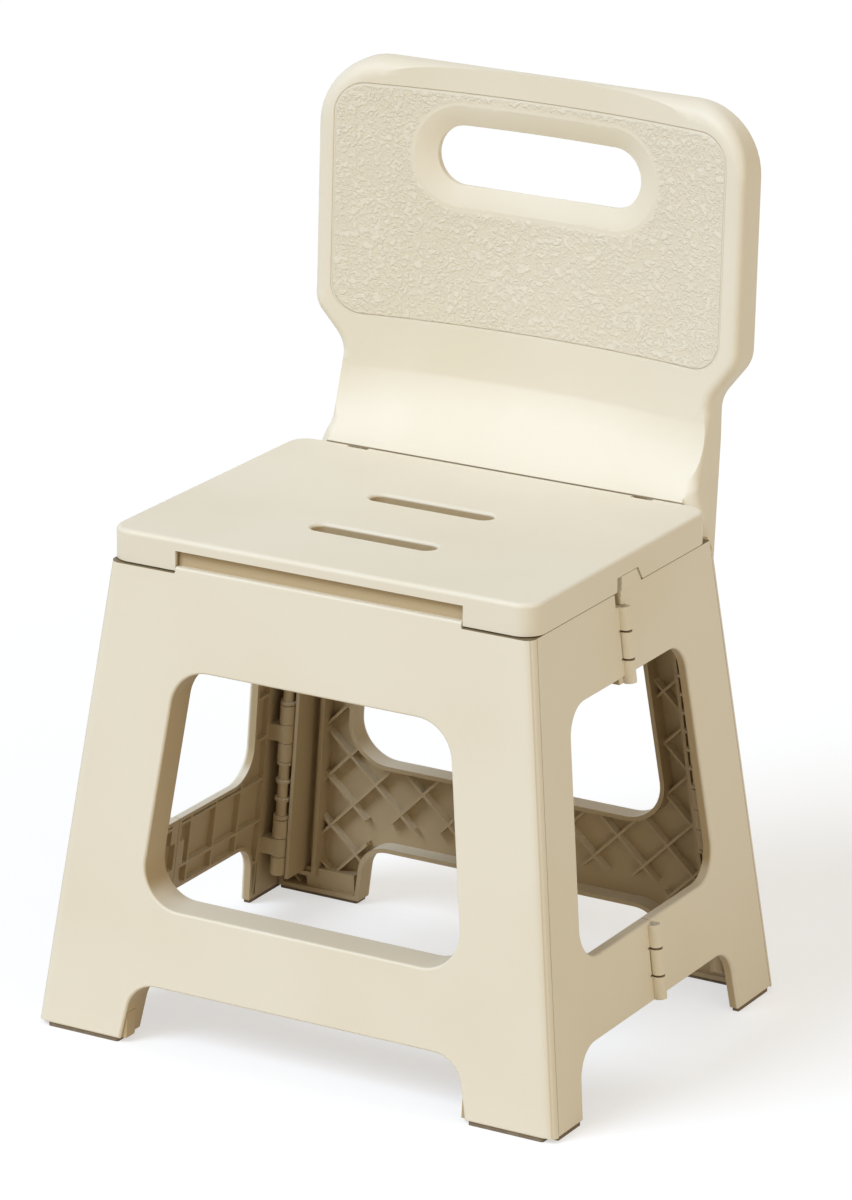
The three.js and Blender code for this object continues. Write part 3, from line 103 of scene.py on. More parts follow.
def place_camera():
    back = direction(VIEW_AZIMUTH, VIEW_ELEVATION)
    level = Vector((math.cos(VIEW_AZIMUTH), math.sin(VIEW_AZIMUTH), 0))
    upright = back.cross(level)
    right = level * math.cos(VIEW_ROLL) + upright * math.sin(VIEW_ROLL)
    turned = Matrix((right, back.cross(right), back)).transposed().to_4x4()
    data = bpy.data.cameras.new("camera")
    data.lens = LENS
    data.sensor_width = SENSOR
    data.clip_end = VIEW_END
    camera = add_object("camera", data)
    camera.matrix_world = Matrix.Translation(VIEW_TARGET + back * VIEW_DISTANCE) @ turned
    bpy.context.scene.camera = camera
    return camera


camera = place_camera()
print("camera at", [round(value, 3) for value in camera.matrix_world.translation])

# %% [markdown]
# Shader arithmetic
#
# A finish is a small sum: a base colour, plus a little noise, times a mask. Blender wants one node for
# every plus and times, which is hard to read. The class below wraps the output of a node, so that a line
# such as 1 - mask * 0.4 adds the Math nodes by itself. Every other node comes from its one method, node.

# %% A socket that can be added and multiplied
FIRST_COLOUR, SECOND_COLOUR, MIXED_COLOUR = 6, 7, 2


def math_method(operation, reflected=False):
    """A method that adds one Math node. The reflected one is for a number on the left of a wire."""
    def method(self, other):
        values = (other, self) if reflected else (self, other)
        return self.maths(operation, *values)
    return method


class Wire:
    """One output of a shader node. Sums and products of wires add Math nodes."""

    def __init__(self, tree, socket):
        self.tree = tree
        self.socket = socket

    @classmethod
    def node(cls, tree, kind, settings=None, inputs=None, output=0):
        made = tree.nodes.new(kind)
        for name, value in (settings or {}).items():
            setattr(made, name, value)
        for name, value in (inputs or {}).items():
            if isinstance(value, Wire):
                tree.links.new(value.socket, made.inputs[name])
            else:
                made.inputs[name].default_value = value
        return cls(tree, made.outputs[output]) if made.outputs else None

    def maths(self, operation, *values):
        return Wire.node(self.tree, "ShaderNodeMath", {"operation": operation}, dict(enumerate(values)))

    __add__ = math_method("ADD")
    __radd__ = math_method("ADD", reflected=True)
    __sub__ = math_method("SUBTRACT")
    __rsub__ = math_method("SUBTRACT", reflected=True)
    __mul__ = math_method("MULTIPLY")
    __rmul__ = math_method("MULTIPLY", reflected=True)
    __truediv__ = math_method("DIVIDE")
    smaller = math_method("MINIMUM")
    larger = math_method("MAXIMUM")

    def size(self):
        return self.maths("ABSOLUTE", self)

    def root(self):
        return self.maths("SQRT", self)

    def fade(self, start, end):
        """0 at start and 1 at end, smooth between and level beyond."""
        inputs = {"Value": self, "From Min": start, "From Max": end}
        settings = {"interpolation_type": "SMOOTHSTEP"}
        return Wire.node(self.tree, "ShaderNodeMapRange", settings, inputs)


def mixed(tree, share, first, second):
    """A colour between two, by a share from 0 to 1. The node's colour sockets are known by number."""
    inputs = {"Factor": share, FIRST_COLOUR: first, SECOND_COLOUR: second}
    return Wire.node(tree, "ShaderNodeMix", {"data_type": "RGBA"}, inputs, MIXED_COLOUR)


def part_of(vector, axis):
    return Wire.node(vector.tree, "ShaderNodeSeparateXYZ", inputs={"Vector": vector}, output=axis)


def spot_on(tree):
    """Where a point lies on its piece, in metres, as one wire."""
    return Wire.node(tree, "ShaderNodeTexCoord", output="Object")


print("shader arithmetic is ready")

# %% [markdown]
# The floor and the light
#
# The photograph has a white sweep with a faint shadow. The floor is a plain sheet. To a camera ray about
# half of it is lit and half glows, so the sum is white and the shadow stays soft, with no extra lamp.
# Light that bounces meets a duller, warmer floor, so the underside of the seat stays dark as in the
# photograph. Two suns with wide discs stand for big soft boxes. The key is cool, at the front left. The
# fill is warm and low on the right, and so is the glow of the room: that is why the side faces look
# yellower than the seat.

# %% Lay the floor and set the lamps
FLOOR_REACH = 12
FLOOR_LIT = (0.50, 0.50, 0.50, 1)
FLOOR_GLOW = (0.57, 0.57, 0.57, 1)
FLOOR_DULL = (0.70, 0.63, 0.51, 1)
WORLD_LIGHT = 0.40
WORLD_WARM = (1, 0.90, 0.74, 1)
KEY = {"azimuth": -32, "elevation": 45.5, "strength": 2.42, "softness": 30, "tint": (0.70, 0.825, 1)}
FILL = {"azimuth": 62, "elevation": 22, "strength": 0.75, "softness": 60, "tint": (1, 0.89, 0.72)}


def seen_directly(tree):
    """1 for a ray from the camera, a mirror or clear glass, and 0 for light that bounces."""
    rays = ("Is Camera Ray", "Is Glossy Ray", "Is Transmission Ray")
    camera_ray, glossy_ray, clear_ray = [Wire.node(tree, "ShaderNodeLightPath", output=ray) for ray in rays]
    return camera_ray.larger(glossy_ray).larger(clear_ray)


def fresh_material(name):
    material = bpy.data.materials.new(name)
    material.use_nodes = True
    tree = material.node_tree
    tree.nodes.clear()
    return material, tree


def paper_finish():
    material, tree = fresh_material("white_paper")
    lit = Wire.node(tree, "ShaderNodeBsdfDiffuse", inputs={"Color": FLOOR_LIT})
    dull = Wire.node(tree, "ShaderNodeBsdfDiffuse", inputs={"Color": FLOOR_DULL})
    glow = Wire.node(tree, "ShaderNodeEmission", inputs={"Color": FLOOR_GLOW, "Strength": 1})
    paper = Wire.node(tree, "ShaderNodeAddShader", inputs={0: lit, 1: glow})
    both = Wire.node(tree, "ShaderNodeMixShader", inputs={0: seen_directly(tree), 1: dull, 2: paper})
    Wire.node(tree, "ShaderNodeOutputMaterial", inputs={"Surface": both})
    return material


def lay_floor():
    mesh = bpy.data.meshes.new("floor")
    reach = FLOOR_REACH
    corners = [(-reach, -reach, 0), (reach, -reach, 0), (reach, reach, 0), (-reach, reach, 0)]
    mesh.from_pydata(corners, [], [(0, 1, 2, 3)])
    mesh.materials.append(paper_finish())
    floor = add_object("floor", mesh)
    floor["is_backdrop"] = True


def hang_sun(name, azimuth, elevation, strength, softness, tint):
    data = bpy.data.lights.new(name, "SUN")
    data.energy = strength
    data.color = tint
    data.angle = math.radians(softness)
    lamp = add_object(name, data)
    towards = direction(math.radians(azimuth), math.radians(elevation))
    lamp.rotation_euler = towards.to_track_quat("Z", "Y").to_euler()


def light_world():
    world = bpy.data.worlds.new("studio")
    world.use_nodes = True
    bpy.context.scene.world = world
    tree = world.node_tree
    tree.nodes.clear()
    glow = Wire.node(tree, "ShaderNodeBackground", inputs={"Color": WORLD_WARM, "Strength": WORLD_LIGHT})
    white = Wire.node(tree, "ShaderNodeBackground", inputs={"Color": (1, 1, 1, 1), "Strength": 1})
    both = Wire.node(tree, "ShaderNodeMixShader", inputs={0: seen_directly(tree), 1: glow, 2: white})
    Wire.node(tree, "ShaderNodeOutputWorld", inputs={"Surface": both})


lay_floor()
hang_sun("key", **KEY)
hang_sun("fill", **FILL)
light_world()
bpy.context.scene.view_settings.view_transform = "Standard"
print("lamps: key at", KEY["elevation"], "degrees, fill at", FILL["elevation"])

# %% [markdown]
# Sizes of the open chair
#
# A moulded panel is a flat drawing that leans. Every face of the frame is a straight line between the
# floor and the underside of the seat, so three small functions give the place of the side, front and rear
# faces at any height. The drawing is made about the middle of the seat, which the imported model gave
# above.

# %% Name the driving sizes
SEAT_HEIGHT = 320
SEAT_WIDTH = 293.6
SEAT_REAR = 223 / 2
SKIRT_DROP = 20
PANEL_TOP = SEAT_HEIGHT - SKIRT_DROP
FOOT_WIDTH = 364.4
FRONT_REACH = 142.2
REAR_REACH = 149
SIDE_TUCK = 1.5
FRONT_PROUD = 1
REAR_SET_BACK = 8.1
SKIN = 3
RIB = 1.8
EDGE = 1.5
CORNER_ROUND = 6.5
PANEL_LIFT = 2.6
GAP = 0.4
SEAM = 0.6
BITE = 0.4
OVERRUN = 6
TOP_GAP = 0.9
SHOULDER_Z = PANEL_TOP - TOP_GAP
RECESS_HALF_WIDTH = 99
SEAT_LIP = 7.5
SLOT = {"half": 43, "width": 7, "dish": 2.2, "wall": 2, "places": (25, -45)}
TAB = {"height": 9, "length": 19, "slant": 6.5, "inset": 0.6}
BARREL_NOTCH_WIDTH = 7
MID_HINGE_Y = -3
MID_STARTS = (45, 243)
MID_HEIGHT = 47
MID_SHARES = (0, 0.32, 0.69, 1)


def between(first, second, share):
    return first + (second - first) * share


def around(centre, reach):
    return centre - reach, centre + reach


def side_x(z):
    return between(FOOT_WIDTH / 2, SEAT_WIDTH / 2 - SIDE_TUCK, z / PANEL_TOP)


def front_y(z):
    return between(-FRONT_REACH, -SEAT_REAR - FRONT_PROUD, z / PANEL_TOP)


def rear_y(z):
    return between(REAR_REACH, SEAT_REAR + REAR_SET_BACK, z / PANEL_TOP)


def on_front(u, v, depth):
    return Vector((u, front_y(v) + depth, v))


def on_rear(u, v, depth):
    return Vector((u, rear_y(v) - depth, v))


def on_right(u, v, depth):
    return Vector((side_x(v) - depth, u, v))


def on_seat(u, v, depth):
    return Vector((u, v, SEAT_HEIGHT - depth))


def across(u, v, depth):
    return Vector((depth, u, v))


print("seat middle at y =", round(SEAT_MIDDLE_Y / MM, 2), "mm")

# %% [markdown]
# Painted shade inside the frame
#
# Inside the frame the plastic looks a deeper tan, because light there has bounced off it many times; that
# shade is painted into the colour. A mask, made from the depth behind the nearest outer face, says where.
# A second mask paints thin shadow lines in the narrow joints, where little light gets in. The size
# functions above take a wire as well as a number, so a mask is written as the drawing is, and it lies in
# the piece's own coordinates: it folds with the chair.

# %% Mask the painted shade inside and in the joints
# The tan is painted shade inside the frame, and the brown is painted shadow in the joints.
TAN_PAINTED_SHADE = (0.500, 0.385, 0.225, 1)
SEAM_SHADOW_BROWN = (0.200, 0.145, 0.075, 1)
INSIDE_SHADE_DEPTHS = (1.2, 2.6)
FACING_UP = (0.4, 0.8)
LEDGE_HEIGHTS = (25, 45)
LEDGE_SHARE = 0.75
SEAT_MARGIN = 6
SEAM_SHADOW_WIDTH = 0.4
SEAM_SHADOW_BLUR = 0.25
HINGE_SEAM_SHADOW = 0.6
KNUCKLE_REACH = 5
KNUCKLE_BLUR = 1


def inside_shade_mask(tree, x, y, z):
    """Painted shade: 1 on surfaces well behind the nearest outer face, and less where they face up."""
    behind = (side_x(z) - x).smaller(y - front_y(z)).smaller(rear_y(z) - y)
    seat_corner = z.fade(SHOULDER_Z, PANEL_TOP) * x.fade(RECESS_HALF_WIDTH, RECESS_HALF_WIDTH + SEAT_MARGIN)
    depth = (behind - seat_corner * SEAT_MARGIN).smaller(SEAT_HEIGHT - z)
    upward = part_of(Wire.node(tree, "ShaderNodeTexCoord", output="Normal"), "Z")
    ledge = upward.fade(*FACING_UP) * z.fade(*LEDGE_HEIGHTS) * LEDGE_SHARE
    return depth.fade(*INSIDE_SHADE_DEPTHS) * (1 - ledge)


def seam_shadow_mask(x, y, z):
    """Thin painted shadow lines in the joints: under the skirt of the seat and between the knuckles of the
    side hinges.
    """
    low = SHOULDER_Z - SEAM_SHADOW_WIDTH
    under = z.fade(low - SEAM_SHADOW_BLUR, low) * z.fade(SHOULDER_Z + SEAM_SHADOW_BLUR, SHOULDER_Z)
    tab_start = MID_HINGE_Y - BARREL_NOTCH_WIDTH
    tab_end = MID_HINGE_Y + TAB["length"] + TAB["slant"]
    beside_tab = y.fade(tab_end, tab_end + SEAM_SHADOW_BLUR).larger(y.fade(tab_start, tab_start - SEAM_SHADOW_BLUR))
    line = under * beside_tab * x.fade(RECESS_HALF_WIDTH - SEAM_SHADOW_BLUR, RECESS_HALF_WIDTH)
    knuckle = (y - MID_HINGE_Y).size().fade(KNUCKLE_REACH + KNUCKLE_BLUR, KNUCKLE_REACH)
    knuckle = knuckle * (x - side_x(z)).fade(-KNUCKLE_BLUR, 0)
    for start in MID_STARTS:
        for share in MID_SHARES[1:3]:
            joint = (z - (start + share * MID_HEIGHT)).size().fade(HINGE_SEAM_SHADOW + SEAM_SHADOW_BLUR / 2, HINGE_SEAM_SHADOW)
            line = line.larger(joint * knuckle)
    return line


print("the tan is full", INSIDE_SHADE_DEPTHS[1], "mm behind the nearest face")

# %% [markdown]
# Where the leather grain lies
#
# The grain fills a rounded field of the backrest, with a fine groove at its edge and a smooth rim round the
# hand hole. How far a point lies inside the field is a formula, and each mask is a fade of that distance.

# %% Mask the field of the backrest
FIELD = {"half": 137, "low": 397, "high": 545, "round": 20}
FIELD_FADE = (0.5 * MM, 1.5 * MM)
GROOVE_FADE = (0.3 * MM, 0.9 * MM)
FUNNEL = {"middle": 505, "half": 52, "reach": 37, "blur": 3}


def field_distance(place):
    """How far inside the rounded field of the backrest a point lies, in metres; it is negative outside."""
    middle = (FIELD["low"] + FIELD["high"]) / 2
    half_height = (FIELD["high"] - FIELD["low"]) / 2
    across = place["x"].size() - (FIELD["half"] - FIELD["round"]) * MM
    up = (place["z"] - middle * MM).size() - (half_height - FIELD["round"]) * MM
    across_out = across.larger(0)
    up_out = up.larger(0)
    corner = (across_out * across_out + up_out * up_out).root()
    return FIELD["round"] * MM - corner - across.larger(up).smaller(0)


def backrest_grain(place):
    across = (place["x"].size() - FUNNEL["half"] * MM).larger(0)
    up = place["z"] - FUNNEL["middle"] * MM
    reach = (across * across + up * up).root()
    smooth_rim = reach.fade((FUNNEL["reach"] - FUNNEL["blur"]) * MM, FUNNEL["reach"] * MM)
    return field_distance(place).fade(*FIELD_FADE) * smooth_rim


def backrest_groove(place):
    return 1 - field_distance(place).size().fade(*GROOVE_FADE)


print("the grained field is", FIELD["half"] * 2, "by", FIELD["high"] - FIELD["low"], "mm")

# %% [markdown]
# Moulded plastic
#
# The panels are injection moulded in one cream colour. Up close the skin is not mirror smooth: the steel
# mould was etched, so the light breaks up a little, and the colour drifts very slightly where the melt
# flowed. The field of the backrest has a deeper, leather-like grain for grip, with painted shade in its
# creases and in its groove and a painted highlight on its bumps. Drift and both grains are noise at
# different scales, and the masks above say where the painted shade, the painted shadow lines in the
# joints and the leather go.

# %% Mix the cream plastic
CREAM = (0.815, 0.750, 0.615, 1)
# The deep cream is both the drift of the melt and painted shade in the creases and groove of the grain; the
# pale cream is a painted highlight on its bumps.
CREAM_DRIFT_AND_SHADE = (0.770, 0.690, 0.530, 1)
CREAM_HIGHLIGHT = (0.850, 0.795, 0.680, 1)
NOISE_MIDDLE = 0.5
FLOW_SCALE = 9
FLOW_SPAN = (0.35, 0.75)
FLOW_SHARE = 0.5
ETCHED_SCALE = 1400
ETCHED_HEIGHT = 0.12
LEATHER = {"scale": 200, "detail": 4, "roughness": 0.6}
CREASE_SLOPE = 7
# Shares of painted shade in the hollows and of painted highlight on the bumps.
HOLLOW_SHADE_SHARE = 0.45
PEBBLE_HIGHLIGHT_SHARE = 0.35
GROOVE_DEPTH = 1.6
CREAM_ROUGHNESS = {"plain": 0.50, "flow": 0.10, "etched": 0.12, "leather": 0.08}
CREAM_BUMP = {"strength": 0.6, "depth": 0.8 * MM}
SHINE = 0.38


def bumped(tree, height, strength, depth):
    inputs = {"Strength": strength, "Distance": depth, "Height": height}
    return Wire.node(tree, "ShaderNodeBump", inputs=inputs)


def noise(tree, spot, scale, detail=2, roughness=0.5):
    inputs = {"Vector": spot, "Scale": scale, "Detail": detail, "Roughness": roughness}
    return Wire.node(tree, "ShaderNodeTexNoise", inputs=inputs)


def leather(tree, spot):
    """Irregular wrinkled bumps, as on a crumpled hide."""
    folds = noise(tree, spot, **LEATHER)
    creases = ((folds - NOISE_MIDDLE).size() * CREASE_SLOPE).smaller(1)
    return creases.fade(0, 1)


def finished(material, tree, inputs):
    shader = Wire.node(tree, "ShaderNodeBsdfPrincipled", inputs=inputs)
    Wire.node(tree, "ShaderNodeOutputMaterial", inputs={"Surface": shader})
    return material


def plastic(name, grain_mask=None, groove=None):
    """Cream plastic. grain_mask and groove are functions that turn a place on the piece into a wire."""
    material, tree = fresh_material(name)
    spot = spot_on(tree)
    place = {axis: part_of(spot, axis.upper()) for axis in "xyz"}
    flow = noise(tree, spot, FLOW_SCALE)
    etched = noise(tree, spot, ETCHED_SCALE)
    colour = mixed(tree, flow.fade(*FLOW_SPAN) * FLOW_SHARE, CREAM, CREAM_DRIFT_AND_SHADE)
    height = etched * ETCHED_HEIGHT
    x = place["x"].size() / MM
    y = (place["y"] - SEAT_MIDDLE_Y) / MM
    z = place["z"] / MM
    # Painted shade: a deeper tan on surfaces inside the frame, lighter where they face up.
    colour = mixed(tree, inside_shade_mask(tree, x, y, z), colour, TAN_PAINTED_SHADE)
    rough = CREAM_ROUGHNESS
    drift = (flow - NOISE_MIDDLE) * rough["flow"]
    roughness = rough["plain"] + drift + (etched - NOISE_MIDDLE) * rough["etched"]
    if grain_mask:
        mask = grain_mask(place)
        pebbles = leather(tree, spot)
        height = height + mask * pebbles
        # Painted shade in the creases of the grain and a painted highlight on its bumps.
        colour = mixed(tree, mask * (1 - pebbles) * HOLLOW_SHADE_SHARE, colour, CREAM_DRIFT_AND_SHADE)
        colour = mixed(tree, mask * pebbles * PEBBLE_HIGHLIGHT_SHARE, colour, CREAM_HIGHLIGHT)
        roughness = roughness + mask * rough["leather"]
    else:
        # Painted shadow lines in the gaps under the skirt and between the hinge knuckles.
        colour = mixed(tree, seam_shadow_mask(x, y, z), colour, SEAM_SHADOW_BROWN)
    if groove:
        line = groove(place)
        height = height - line * GROOVE_DEPTH
        # Painted shade in the groove round the field.
        colour = mixed(tree, line * HOLLOW_SHADE_SHARE, colour, CREAM_DRIFT_AND_SHADE)
    bump = bumped(tree, height, **CREAM_BUMP)
    inputs = {"Base Color": colour, "Roughness": roughness, "Specular IOR Level": SHINE, "Normal": bump}
    return finished(material, tree, inputs)


print("fine grain", ETCHED_SCALE, "and leather grain", LEATHER["scale"], "per metre")

# %% [markdown]
# Steel pins and rubber soles
#
# The hinge pins are bright steel rod with a fine texture and an uneven polish: a fine noise feeds the bump,
# a broad one the colour, and both the roughness. The soles are soft dark rubber, matt and a little dusty.

# %% Mix the steel and the rubber
STEEL = (0.56, 0.55, 0.53, 1)
STEEL_WORN = (0.38, 0.37, 0.35, 1)
RUBBER = (0.20, 0.15, 0.095, 1)
RUBBER_DUSTY = (0.30, 0.24, 0.165, 1)
TEXTURE = {"scale": 900, "detail": 3, "roughness": 0.6}
PATCH_SCALE = 70
PATCH_SPAN = (0.4, 0.7)
STEEL_ROUGHNESS = {"plain": 0.24, "patches": 0.16, "texture": 0.08}
STEEL_BUMP = {"strength": 0.4, "depth": 0.05 * MM}
DUST = {"scale": 120, "detail": 4, "roughness": 0.6}
DUST_SPAN = (0.45, 0.8)
SPECKLE_SCALE = 1500
RUBBER_ROUGHNESS = {"plain": 0.72, "dust": 0.2}
RUBBER_BUMP = {"strength": 0.5, "depth": 0.15 * MM}


def steel():
    material, tree = fresh_material("steel_pin")
    spot = spot_on(tree)
    texture = noise(tree, spot, **TEXTURE)
    patches = noise(tree, spot, PATCH_SCALE)
    colour = mixed(tree, patches.fade(*PATCH_SPAN), STEEL, STEEL_WORN)
    bump = bumped(tree, texture, **STEEL_BUMP)
    rough = STEEL_ROUGHNESS
    roughness = rough["plain"] + patches * rough["patches"] + texture * rough["texture"]
    inputs = {"Base Color": colour, "Metallic": 1, "Roughness": roughness, "Normal": bump}
    return finished(material, tree, inputs)


def rubber():
    material, tree = fresh_material("rubber_sole")
    spot = spot_on(tree)
    dust = noise(tree, spot, **DUST)
    speckle = noise(tree, spot, SPECKLE_SCALE)
    colour = mixed(tree, dust.fade(*DUST_SPAN), RUBBER, RUBBER_DUSTY)
    bump = bumped(tree, speckle, **RUBBER_BUMP)
    roughness = RUBBER_ROUGHNESS["plain"] + dust * RUBBER_ROUGHNESS["dust"]
    return finished(material, tree, {"Base Color": colour, "Roughness": roughness, "Normal": bump})


def finish_packed_node(name, material):
    """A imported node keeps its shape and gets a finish."""
    mesh_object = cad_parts[name]
    for slot in mesh_object.material_slots:
        slot.material = material


cream = plastic("cream_plastic")
pin_steel = steel()
sole_rubber = rubber()
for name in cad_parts:
    finish = pin_steel if "_pin_" in name else sole_rubber if "_pad_" in name else cream
    finish_packed_node(name, finish)
print("finishes set on", len(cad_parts), "packed nodes")

# %% [markdown]
# Outlines with rounded corners
#
# The mould maker draws each panel as a polygon with a fillet at each corner. The function below takes
# such a list: place, fillet, and the rounding of the edge that leaves the corner. It turns each fillet
# into a fine arc. A second function moves the outline inwards, which is how a rounded edge or a wall
# thickness is made.

# %% Draw and inset an outline
ARC_STEP = math.radians(7.5)
SHOULDER_SHARE = 1.25
STRAIGHT = 1e-4


def outline_of(corners):
    """Points of a filleted polygon as (place, edge before, edge after)."""
    count = len(corners)
    places = [Vector(corner[:2]) for corner in corners]
    fillets = [corner[2] if len(corner) > 2 else 0 for corner in corners]
    edges = [corner[3] if len(corner) > 3 else 0 for corner in corners]
    outline = []
    for i, here in enumerate(places):
        before, after = edges[i - 1], edges[i]
        back = (places[i - 1] - here).normalized()
        on = (places[(i + 1) % count] - here).normalized()
        if not fillets[i]:
            reach = max(before, after) * SHOULDER_SHARE
            if before < after:
                outline.append((here + back * reach, before, before))
            outline.append((here, before, after))
            if after < before:
                outline.append((here + on * reach, after, after))
            continue
        half = back.angle(on) / 2
        centre = here + (back + on).normalized() * (fillets[i] / math.sin(half))
        start = here + back * (fillets[i] / math.tan(half))
        sweep = math.copysign(math.pi - 2 * half, on.x * back.y - on.y * back.x)
        steps = max(2, round(abs(sweep) / ARC_STEP))
        for step in range(steps + 1):
            edge = between(before, after, step / steps)
            place = centre + Matrix.Rotation(sweep * step / steps, 2) @ (start - centre)
            outline.append((place, edge, edge))
    return outline


def area_of(places):
    return sum(a.x * b.y - b.x * a.y for a, b in zip(places, places[1:] + places[:1])) / 2


def inset(outline, share, distance=0):
    """The outline moved inwards by each edge radius times a share, plus a distance."""
    side = math.copysign(1, area_of([place for place, _, _ in outline]))
    count = len(outline)
    moved = []
    for i, (place, before, after) in enumerate(outline):
        arriving = (place - outline[i - 1][0]).normalized()
        leaving = (outline[(i + 1) % count][0] - place).normalized()
        first = Vector((-arriving.y, arriving.x)) * side
        second = Vector((-leaving.y, leaving.x)) * side
        a = before * share + distance
        b = after * share + distance
        turn = first.x * second.y - first.y * second.x
        if abs(turn) < STRAIGHT:
            moved.append(place + first * (a + b) / 2)
        else:
            moved.append(place + Vector((a * second.y - b * first.y, b * first.x - a * second.x)) / turn)
    return moved


def rectangle(left, right, bottom, top):
    return [(left, bottom), (right, bottom), (right, top), (left, top)]


def filleted(corners, fillet, edge=0):
    return [(u, v, fillet, edge) for u, v in corners]


print("a round corner gets a point every", round(math.degrees(ARC_STEP), 1), "degrees")

# %% [markdown]
# Solids from rings
#
# A solid is a stack of matching rings, closed at both ends. A slab has two rings. A slab with a rounded
# rim has a few more, each a little wider and a little deeper along a quarter circle. Cuts and unions then
# use the Boolean modifier, as the real tool steel is cut, and the result is taken as a plain mesh.

# %% Loft, cut and join
EDGE_STEPS = 6
QUARTER = [math.pi / 2 * step / EDGE_STEPS for step in range(EDGE_STEPS + 1)]


def loft(rings):
    shape = bmesh.new()
    loops = [[shape.verts.new(point) for point in ring] for ring in rings]
    count = len(loops[0])
    for low, high in zip(loops, loops[1:]):
        for i in range(count):
            j = (i + 1) % count
            shape.faces.new((low[i], low[j], high[j], high[i]))
    shape.faces.new(reversed(loops[0]))
    shape.faces.new(loops[-1])
    if shape.calc_volume(signed=True) < 0:
        bmesh.ops.reverse_faces(shape, faces=shape.faces)
    mesh = bpy.data.meshes.new("draft")
    shape.to_mesh(mesh)
    shape.free()
    return add_object("draft", mesh)


def ring_at(wall, places, depth):
    return [wall(place.x, place.y, depth) for place in places]


def slab(wall, corners, near, far, distance=0):
    places = inset(outline_of(corners), 0, distance)
    return loft([ring_at(wall, places, near), ring_at(wall, places, far)])


def rounded_slab(wall, corners, far):
    outline = outline_of(corners)
    rings = []
    for turn in QUARTER:
        places = inset(outline, 1 - math.sin(turn))
        depths = [max(before, after) * (1 - math.cos(turn)) for _, before, after in outline]
        rings.append([wall(place.x, place.y, depth) for place, depth in zip(places, depths)])
    rings.append(ring_at(wall, [place for place, _, _ in outline], far))
    return loft(rings)


def opening_cutter(wall, corners, rounding, far):
    outline = outline_of(corners)
    rings = [ring_at(wall, inset(outline, 0, -rounding), -OVERRUN)]
    for turn in QUARTER:
        places = inset(outline, 0, -rounding * (1 - math.sin(turn)))
        rings.append(ring_at(wall, places, rounding * (1 - math.cos(turn))))
    rings.append(ring_at(wall, inset(outline, 0), far))
    return loft(rings)


def boolean(base, operation, tools):
    for tool in tools:
        step = base.modifiers.new("step", "BOOLEAN")
        step.operation = operation
        step.solver = "MANIFOLD"
        step.object = tool
    seen = base.evaluated_get(bpy.context.evaluated_depsgraph_get())
    mesh = bpy.data.meshes.new_from_object(seen)
    base.modifiers.clear()
    spent = [base.data] + [tool.data for tool in tools]
    base.data = mesh
    for tool in tools:
        bpy.data.objects.remove(tool)
    for old in spent:
        bpy.data.meshes.remove(old)
    return base


def join(bodies):
    return boolean(bodies[0], "UNION", bodies[1:]) if len(bodies) > 1 else bodies[0]


def cut(body, cutters):
    return boolean(body, "DIFFERENCE", cutters)


def overlap(body, other):
    return boolean(body, "INTERSECT", [other])


def mirrored(body):
    """A copy on the other side of the chair's middle plane."""
    mesh = body.data.copy()
    mesh.transform(Matrix.Diagonal((-1, 1, 1, 1)))
    mesh.flip_normals()
    return add_object("draft", mesh)


def both_sides(bodies):
    return bodies + [mirrored(body) for body in bodies]


TEST_HALF = 5
block = slab(on_seat, rectangle(*around(0, TEST_HALF), *around(0, TEST_HALF)), 0, TEST_HALF)
drill = slab(on_seat, rectangle(*around(0, SKIN), *around(0, SKIN)), -OVERRUN, TEST_HALF + OVERRUN)
test = cut(block, [drill])
print("a drilled test block has", len(test.data.polygons), "faces")
bpy.data.objects.remove(test)

# %% [markdown]
# Ribs, rods and hinge knuckles
#
# Behind each panel a lattice of thin ribs carries the load, so the skin can stay thin. It is two sets of
# parallel bars. The six upright hinge lines lean, and all meet at one point high above the seat: that is
# what lets the frame fold without bending. A knuckle is a short rod on such a line, with an arm to the
# panel.

# %% Make bars, rods and arms
APEX_HEIGHT = 1440
CORNER_INSET = {"side": 17.7, "front": 22.2}
HALF_SPAN = FRONT_REACH + MID_HINGE_Y - CORNER_INSET["front"]
CORNER_X = FOOT_WIDTH / 2 - CORNER_INSET["side"]
MID_AXIS_PROUD = 2.8
ROUND_SIDES = 32
apex = Vector((0, MID_HINGE_Y, APEX_HEIGHT))
front_corner = Vector((CORNER_X, MID_HINGE_Y - HALF_SPAN, 0))
rear_corner = Vector((CORNER_X, MID_HINGE_Y + HALF_SPAN, 0))
mid_side = Vector((FOOT_WIDTH / 2 + MID_AXIS_PROUD, MID_HINGE_Y, 0))


def on_axis(foot, z):
    return foot.lerp(apex, z / APEX_HEIGHT)


def bars(wall, centre, reach, pitch, angle, near, far):
    side = Vector((math.cos(angle), math.sin(angle)))
    along = Vector((-side.y, side.x))
    count = math.ceil(reach / pitch)
    signs = rectangle(-1, 1, -1, 1)
    made = []
    for k in range(-count, count + 1):
        middle = Vector(centre) + side * k * pitch
        corners = [middle + side * a * RIB / 2 + along * b * reach for a, b in signs]
        made.append(slab(wall, corners, near, far))
    return made


def lattice(wall, centre, reach, pitch, turn, near, far):
    one = bars(wall, centre, reach, pitch, turn, near, far)
    other = bars(wall, centre, reach, pitch, turn + math.pi / 2, near, far)
    return join(one + other)


def rod(start, end, radius):
    run = (end - start).normalized()
    first = run.orthogonal().normalized()
    second = run.cross(first)
    turns = [2 * math.pi * i / ROUND_SIDES for i in range(ROUND_SIDES)]
    spokes = [(first * math.cos(turn) + second * math.sin(turn)) * radius for turn in turns]
    return loft([[start + spoke for spoke in spokes], [end + spoke for spoke in spokes]])


def upright_rod(foot, low, high, radius):
    return rod(on_axis(foot, low), on_axis(foot, high), radius)


def cross_rod(axis, left, right, radius):
    return rod(Vector((left, *axis)), Vector((right, *axis)), radius)


